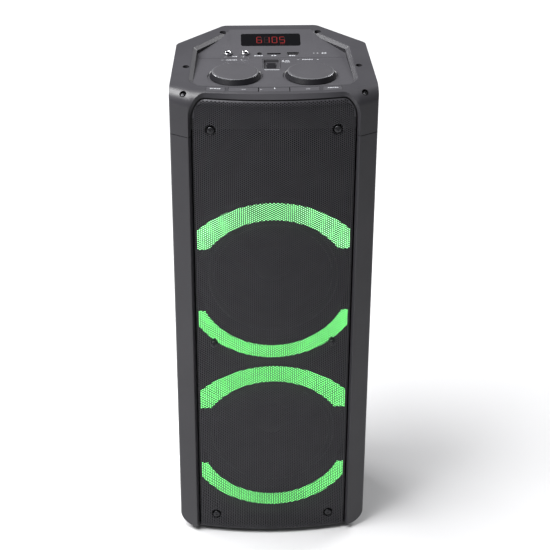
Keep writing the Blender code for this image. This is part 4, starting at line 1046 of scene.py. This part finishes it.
for side, label in ((-1, "mic"), (1, "volume")):
    spot = on_deck(side * KNOB_X, KNOB_Y)
    low = -KNOB_DISH_D + 0.5
    skirt = [
        (0, KNOB_H - 0.9),
        (KNOB_TOP_R - 1.6, KNOB_H - 0.9),
        (KNOB_TOP_R - 1.5, KNOB_H - 1.62),
        (KNOB_TOP_R - 0.2, KNOB_H - 1.62),
        (KNOB_TOP_R + 0.1, KNOB_H - 1.9),
        (KNOB_R - 0.25, low + 0.5),
        (KNOB_R - 0.35, low),
        (KNOB_R - 2.6, low),
        (KNOB_TOP_R - 2.4, KNOB_H - 2.6),
        (7.0, KNOB_H - 2.6),
        (7.0, low),
        (3.35, low),
        (3.35, KNOB_H - 3.0),
        (0, KNOB_H - 3.0),
    ]
    base = piece(f"{label}_knob_skirt", turned_mesh("k", skirt, spot, 160), f"{label}_knob_body", BLACK, [f"{label}_knob"])
    cap = [
        (0, KNOB_H - 0.05),
        (KNOB_TOP_R - 4.2, KNOB_H),
        (KNOB_TOP_R - 3.2, KNOB_H - 0.02),
        (KNOB_TOP_R - 2.0, KNOB_H - 0.35),
        (KNOB_TOP_R - 1.55, KNOB_H - 0.62),
        (KNOB_TOP_R - 1.55, KNOB_H - 0.85),
        (0, KNOB_H - 0.85),
    ]
    piece(f"{label}_knob_cap", turned_mesh("kc", cap, spot, 160), f"{label}_knob_body", KNOB_CAP, [f"{label}_knob"])
    edge = [(KNOB_TOP_R - 1.55, KNOB_H - 0.66), (KNOB_TOP_R - 0.9, KNOB_H - 0.72), (KNOB_TOP_R - 0.15, KNOB_H - 1.15)]
    edge += [(KNOB_TOP_R - 0.3, KNOB_H - 1.6), (KNOB_TOP_R - 1.55, KNOB_H - 1.6)]
    piece(f"{label}_knob_edge", turned_mesh("kr", edge, spot, 160, True), f"{label}_knob_body", EDGE, [f"{label}_knob"])
    shaft = [(0, KNOB_H - 3.3), (3.0, KNOB_H - 3.3), (3.0, -11.2), (0, -11.2)]
    piece(f"{label}_shaft", turned_mesh("ks", shaft, spot, 40), f"{label}_knob_body", CHROME, [f"{label}_knob_shaft"])
    cup = [(0, -11.5), (3.35, -11.5), (3.35, -5.0), (8.4, -5.0), (9.0, -5.6), (9.0, -13.0), (0, -13.0)]
    piece(f"{label}_encoder", turned_mesh("ke", cup, spot, 48), "cabinet", PORT_METAL, [f"{label}_encoder_body"])

# ---------------------------------------------------------------- keys

for name, (x0, x1) in KEYS.items():
    outerkey = name in ("mode", "echo")
    if outerkey:
        plan_points = key_plan(x0, x1, GAP)
    else:
        plan_points = key_plan(x0 + 0.3, x1 - 0.3, 0.0)
        count = len(plan_points) // 2
        plan_points = [(x, y + GAP) for x, y in plan_points[:count]] + [(x, y - GAP) for x, y in plan_points[count:]]
    mesh = carve(slab_mesh(name, plan_points, KEY_FLOOR + KEY_TRAVEL + 0.4, TOP_Z), waste_mesh.copy())
    piece(f"{name}_key_cap", mesh, f"{name}_key_body", DECK, [f"{name}_key"], angle=30, bevel=0.15)

# ---------------------------------------------------------------- power switch

tray = slab_mesh("tray", round_rect(POCKET[2] - 0.6, POCKET[3] - 0.6, 1.4), -15.0, -0.3, pocket_frame)
tray = carve(
    tray,
    slab_mesh("tray_hollow", round_rect(POCKET[2] - 3.6, POCKET[3] - 3.6, 1.0), -4.5, 10.0, pocket_frame),
    box_mesh("rocker_slot", (12.5, 15.6, 20.0), (0, 2.3, -13.0 + 10.0), pocket_frame),
)
piece("power_tray", tray, "cabinet", DECK, ["power_switch_body"], angle=30, bevel=0.2)
rocker_frame = pocket_frame @ at(0, 2.3, -7.0) @ tilt_x(ROCKER_TILT)
rocker_side = [(-6.6, 4.15), (-5.0, 3.75), (-3.0, 3.4), (0.0, 3.2), (3.0, 3.4), (5.0, 3.75), (6.6, 4.15), (6.9, 3.8), (6.6, -1.0)]
rocker_side += [(4.6, -4.0), (-4.6, -4.0), (-6.6, -1.0), (-6.9, 3.8)]
rocker = piece("rocker_cap", outline_mesh("rocker", rocker_side, 11.7, rocker_frame @ ALONG_X), "power_rocker_body", BLACK, ["power_rocker"], bevel=0.25)

# ---------------------------------------------------------------- display


def flat_group(name, shapes, thick, matrix, body, finish):
    """Several thin outlines on one plane, as one piece. Each is a list of points."""
    shape = bmesh.new()
    for points in shapes:
        shape.from_mesh(outline_mesh("s", points, thick, matrix))
    return piece(name, mesh_from(shape, name), body, finish, weighted=False)


window = slab_mesh("window", round_rect(WINDOW[0], WINDOW[1] - 0.2, 3.3), -1.3, 0.0, window_frame)
piece("display_window_pane", window, "cabinet", WINDOW_MAT, ["display_window"], bevel=0.2)

SEGMENTS = {"a": ((0, 1), 0), "b": ((0.5, 0.5), 1), "c": ((0.5, -0.5), 1), "d": ((0, -1), 0), "e": ((-0.5, -0.5), 1), "f": ((-0.5, 0.5), 1), "g": ((0, 0), 0)}
DIGITS = {"0": "abcdef", "1": "bc", "2": "abged", "3": "abgcd", "4": "fgbc", "5": "afgcd", "6": "afgedc", "7": "abc", "8": "abcdefg", "9": "abcdfg"}


def segment(cx, cy, upright, length, thick):
    h, t = length / 2, thick / 2
    points = [(-h, 0), (-h + t, -t), (h - t, -t), (h, 0), (h - t, t), (-h + t, t)]
    return [(cx + (-y if upright else x), cy + (x if upright else y)) for x, y in points]


lit, unlit = [], []
for place_x, digit in zip((-15.6, -5.2, 5.2, 15.6), "6105"):
    for key_name, ((sx, sy), upright) in SEGMENTS.items():
        shape = segment(place_x + sx * 6.4, -0.4 + sy * 7.0, upright, 6.0 if not upright else 6.6, 1.0)
        (lit if key_name in DIGITS[digit] else unlit).append(shape)
for spot_x in (17.6, 19.6, 21.6):
    lit.append([(x + spot_x - 4.0, y - 10.0) for x, y in round_rect(1.1, 1.1, 0.4)])
flat_group("display_lit_segments", lit, 0.06, window_frame @ at(0, 0, 0.05), "cabinet", RED)
flat_group("display_dark_segments", unlit, 0.06, window_frame @ at(0, 0, 0.05), "cabinet", RED_OFF)
piece("display_module_case", box_mesh("dm", (70.0, 20.0, 7.0), (0, 0, -5.4), window_frame, 0.6), "cabinet", BLACK, ["display_module"])

# ---------------------------------------------------------------- sockets

jack_top = deck_z(JACK_Y + 5.5) + GAP
for number, x in enumerate(MIC_X, 1):
    body = [(4.6, jack_top + 1.9), (5.2, jack_top + 1.75), (5.45, jack_top + 1.4), (5.45, jack_top), (4.4, jack_top), (4.4, 702.2), (7.0, 702.2)]
    body += [(7.0, 678.0), (JACK_BORE_R, 678.0), (JACK_BORE_R, jack_top + 1.1), (JACK_BORE_R + 0.5, jack_top + 1.7), (JACK_BORE_R + 0.9, jack_top + 1.9)]
    spot = at(x, JACK_Y, 0)
    piece(f"mic_socket_{number}", turned_mesh("j", body, spot, 64, True), "cabinet", CHROME, [f"mic_jack_{number}"])
    liner = [(JACK_BORE_R - 0.02, jack_top + 0.6), (JACK_BORE_R - 0.02, 679.0), (JACK_BORE_R - 0.4, 679.0), (JACK_BORE_R - 0.4, jack_top + 0.6)]
    piece(f"mic_socket_liner_{number}", turned_mesh("jl", liner, spot, 48, True), "cabinet", BLACK)
aux_top = deck_z(JACK_Y - 3) - GAP
aux = [(2.8, aux_top), (3.0, aux_top - 0.2), (3.0, 702.2), (4.2, 702.2), (4.2, 688.0), (1.8, 688.0), (1.8, aux_top - 0.4), (2.1, aux_top)]
piece("aux_socket", turned_mesh("a", aux, at(-15.9, JACK_Y, 0), 40, True), "cabinet", BLACK, ["aux_jack"])
usb = carve(
    slab_mesh("usb", round_rect(15.4, 6.0, 0.7), aux_top - 18.0, aux_top, at(29.1, JACK_Y)),
    slab_mesh("usb_mouth", round_rect(14.2, 4.8, 0.4), aux_top - 14.0, aux_top + 9.0, at(29.1, JACK_Y)),
)
piece("usb_socket", usb, "cabinet", PORT_METAL, ["usb_port"])
piece("usb_tongue", box_mesh("ut", (11.6, 1.6, 11.0), (29.1, JACK_Y + 0.9, aux_top - 8.6), None, 0.2), "cabinet", BLACK)
card_top = deck_z(JACK_Y - 1.5) - GAP
card = carve(
    slab_mesh("card", round_rect(18.0, 2.8, 0.5), card_top - 14.0, card_top, at(3.5, JACK_Y)),
    slab_mesh("card_mouth", round_rect(16.6, 1.6, 0.3), card_top - 11.0, card_top + 9.0, at(3.5, JACK_Y)),
)
piece("card_socket", card, "cabinet", BLACK, ["card_slot"])

# ---------------------------------------------------------------- printed marks, all generic


def marks(name, shapes, frame_matrix, finish=INK):
    return flat_group(name, shapes, 0.05, frame_matrix @ at(0, 0, 0.03), "cabinet", finish)


def bar(cx, cy, width, height, slant=0.0, radius=0.25):
    points = round_rect(width, height, min(radius, width / 2.2, height / 2.2), 2)
    return [(cx + x + slant * y / height, cy + y) for x, y in points]


def bars(cx, cy, widths, height, gap=0.9):
    """A row of small bars, as a level scale has."""
    total = sum(widths) + gap * (len(widths) - 1)
    made, x = [], cx - total / 2
    for w in widths:
        made.append(bar(x + w / 2, cy, w, height))
        x += w + gap
    return made


def plus(cx, cy, size=3.4, thick=0.9):
    s, t = size / 2, thick / 2
    return [[(cx - s, cy - t), (cx - t, cy - t), (cx - t, cy - s), (cx + t, cy - s), (cx + t, cy - t), (cx + s, cy - t), (cx + s, cy + t), (cx + t, cy + t), (cx + t, cy + s), (cx - t, cy + s), (cx - t, cy + t), (cx - s, cy + t)]]


def triangle(cx, cy, size, turn=0.0):
    points = [(-0.5, -0.6), (0.6, 0.0), (-0.5, 0.6)]
    c, s = math.cos(turn), math.sin(turn)
    return [(cx + size * (x * c - y * s), cy + size * (x * s + y * c)) for x, y in points]


def deck_marks(name, y, shapes, finish=INK):
    """Marks on the deck, given in plan with their y from this line."""
    return marks(name, shapes, on_deck(0.0, y), finish)


deck_marks("mic_scale_marks", 20.4, [*bars(-53.2, 0, (1.6, 0.8, 2.2, 1.4, 2.6, 1.8), 2.6, 0.7), bar(-65.8, 0, 2.6, 0.8), *plus(-39.8, 0, 2.6, 0.8)])
deck_marks("volume_scale_marks", 19.9, [*bars(47.7, 0, (1.8, 1.0, 2.2, 1.2, 2.4, 1.0, 1.4), 2.6, 0.5), bar(35.2, 0, 2.6, 0.8), *plus(61.5, 0, 2.6, 0.8)])
deck_marks("mic_socket_marks", 32.0, [*bars(-49.1, 0, (1.8, 1.0, 2.4), 1.8, 0.6), bar(-37.4, 0, 1.6, 1.6)])
deck_marks("aux_marks", 33.6, [*bars(-17.3, 0, (2.6, 1.4, 3.0, 2.2), 1.8, 0.7)])
deck_marks("card_marks", 33.6, [*bars(3.3, 0, (2.2, 3.0), 2.0, 1.0)])
deck_marks("usb_marks", 33.4, [*bars(27.8, 0, (3.2, 2.4, 1.6), 2.0, 0.5)])
deck_marks("indicator_marks", 38.5, [*bars(70.8, 0, (1.6, 1.2, 1.4), 3.0, 1.0)])
deck_marks("indicator_dots", 38.5, [round_rect(2.2, 2.2, 1.0, 3) and [(x + 57.2, y) for x, y in round_rect(2.2, 2.2, 1.0, 3)], [(x + 62.2, y) for x, y in round_rect(2.4, 2.4, 1.1, 3)]], FAINT)
deck_marks("power_marks", -17.0, [bar(-0.7, 0, 20.0, 1.5, radius=0.7)])
deck_marks("power_icon", 14.0, [[(13.6, 2.0), (16.4, 5.4), (15.2, 1.2), (17.2, 0.8), (13.8, -4.2), (14.8, -0.4), (12.8, 0.2)]])
deck_marks("charge_marks", 14.0, [bar(20.6, 1.8, 5.6, 1.7), bar(20.2, -2.6, 7.8, 1.7)])


def on_shoulder(x, y):
    """A frame on the shoulder's top surface, its Z along the surface's normal."""
    z = shoulder_z(x, y)
    run = SHOULDER_R - (y - front_y(x))
    tilt = math.degrees(math.asin(max(0.0, min(1.0, run / SHOULDER_R))))
    slope = math.atan((front_y(x + 1) - front_y(x - 1)) / 2)
    return at(x, y, z) @ Matrix.Rotation(slope, 4, "Z") @ tilt_x(tilt)


def key_marks(name, key_name, x, y, shapes, finish=INK):
    frame_matrix = on_shoulder(x, y) @ at(0, 0, 0.03)
    return flat_group(name, shapes, 0.05, frame_matrix, f"{key_name}_key_body" if key_name else "cabinet", finish)


key_marks("mode_marks", "mode", -75.5, -90.8 + bow_shift(-75.5), bars(0, 0, (2.8, 1.4, 3.0, 1.8, 2.2), 1.9, 0.6))
key_marks("echo_marks", "echo", 75.5, -90.8 + bow_shift(75.5), bars(0, 0, (2.2, 3.4, 1.2, 2.8, 1.6), 1.9, 0.6))
key_marks("previous_marks", "previous", -39.5, -91.6 + bow_shift(-39.5), [triangle(-1.2, 0, 2.6, math.pi), triangle(1.6, 0, 2.6, math.pi)], FAINT)
key_marks("play_marks", "play", -18.0 + 1.5, -91.6 + bow_shift(-16.5), [triangle(0, 0, 2.6)], FAINT)
key_marks("next_marks", "next", 44.0, -91.6 + bow_shift(44.0), [triangle(-1.6, 0, 2.6), triangle(1.2, 0, 2.6)], FAINT)
key_marks("centre_mark", "play", 0.8, -88.2 + bow_shift(0.8), [bar(0, 0, 1.6, 3.4)], INK)

# ---------------------------------------------------------------- rear, inside and feet

plate = carve(
    outline_mesh("plate", round_rect(PLATE[0] - 0.6, PLATE[1] - 0.6, 3.7), 1.9, at(0, REAR[1] - 0.95, PLATE[2]) @ ALONG_Y),
    outline_mesh("inlet_hole", round_rect(INLET[0], INLET[1], 1.2), 20.0, at(-25.0, REAR[1], PLATE[2]) @ ALONG_Y),
)
piece("connector_panel", plate, "cabinet", BLACK, ["connector_plate"], bevel=0.25)
inlet = carve(
    outline_mesh("inlet", round_rect(INLET[0] - 0.6, INLET[1] - 0.6, 0.9), 22.0, at(-25.0, REAR[1] - 11.0, PLATE[2]) @ ALONG_Y),
    outline_mesh("inlet_socket", round_rect(19.0, 11.0, 3.0), 24.0, at(-25.0, REAR[1], PLATE[2]) @ ALONG_Y),
)
piece("mains_inlet", inlet, "cabinet", BLACK, ["power_inlet"], bevel=0.2)
for side, hand in ((-1, "left"), (1, "right")):
    pin = [(0, 9.0), (0.9, 8.6), (1.2, 8.0), (1.2, 0), (0, 0)]
    spot = at(-25.0 + side * 4.2, REAR[1] - 12.0, PLATE[2]) @ Matrix.Rotation(math.radians(-90), 4, "X")
    piece(f"inlet_pin_{hand}", turned_mesh("p", pin, spot, 20), "cabinet", CHROME)
port = [(35.0, 0.0), (35.7, -0.6), (35.7, -2.9), (30.2, -3.2), (30.2, -PORT_LEN), (PORT_R, -PORT_LEN)]
port += [(PORT_R + 5.6 * (1 - math.cos(a)), -10.0 + 10.0 * math.sin(a)) for a in (math.pi / 2 * i / 12 for i in range(13))]
piece("bass_port_tube", turned_mesh("bp", port, port_frame, 120, True), "cabinet", BLACK, ["bass_port"])

piece("battery_block", box_mesh("bat", (150.0, 52.0, 72.0), (0, 22.0, BASE_Z + FLOOR_T + GAP + 36.0), None, 5.0, 4), "cabinet", BATTERY, ["battery_pack"])
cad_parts["control_board"].data.materials.clear()
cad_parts["control_board"].data.materials.append(BOARD)
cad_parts["amplifier_board"].data.materials.clear()
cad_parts["amplifier_board"].data.materials.append(BOARD)
for y, row in ((-75.0, "front"), (66.0, "rear")):
    for side, word in ((-1, "left"), (1, "right")):
        x = side * (100.0 if row == "front" else 72.0)
        foot = [(0, 7.7), (12.7, 7.7), (13.0, 7.4), (13.0, 4.6), (12.6, 2.0), (12.0, 0.7), (11.2, 0.0), (0, 0.0)]
        piece(f"rubber_foot_{row}_{word}", turned_mesh("foot", foot, at(x, y, 0), 56), "cabinet", RUBBER, [f"foot_{row}_{word}"])

# ---------------------------------------------------------------- floor

floor_data = bpy.data.meshes.new("floor")
floor_shape = bmesh.new()
bmesh.ops.create_grid(floor_shape, x_segments=1, y_segments=1, size=6.0)
floor_shape.to_mesh(floor_data)
floor_shape.free()
floor = bpy.data.objects.new("floor", floor_data)
scene.collection.objects.link(floor)
pale = Finish("pale_floor", (0.56, 0.56, 0.567), 0.6)
pale.vary_roughness(pale.noise(3.0), 0.55, 0.65)
floor_data.materials.append(pale.mat)
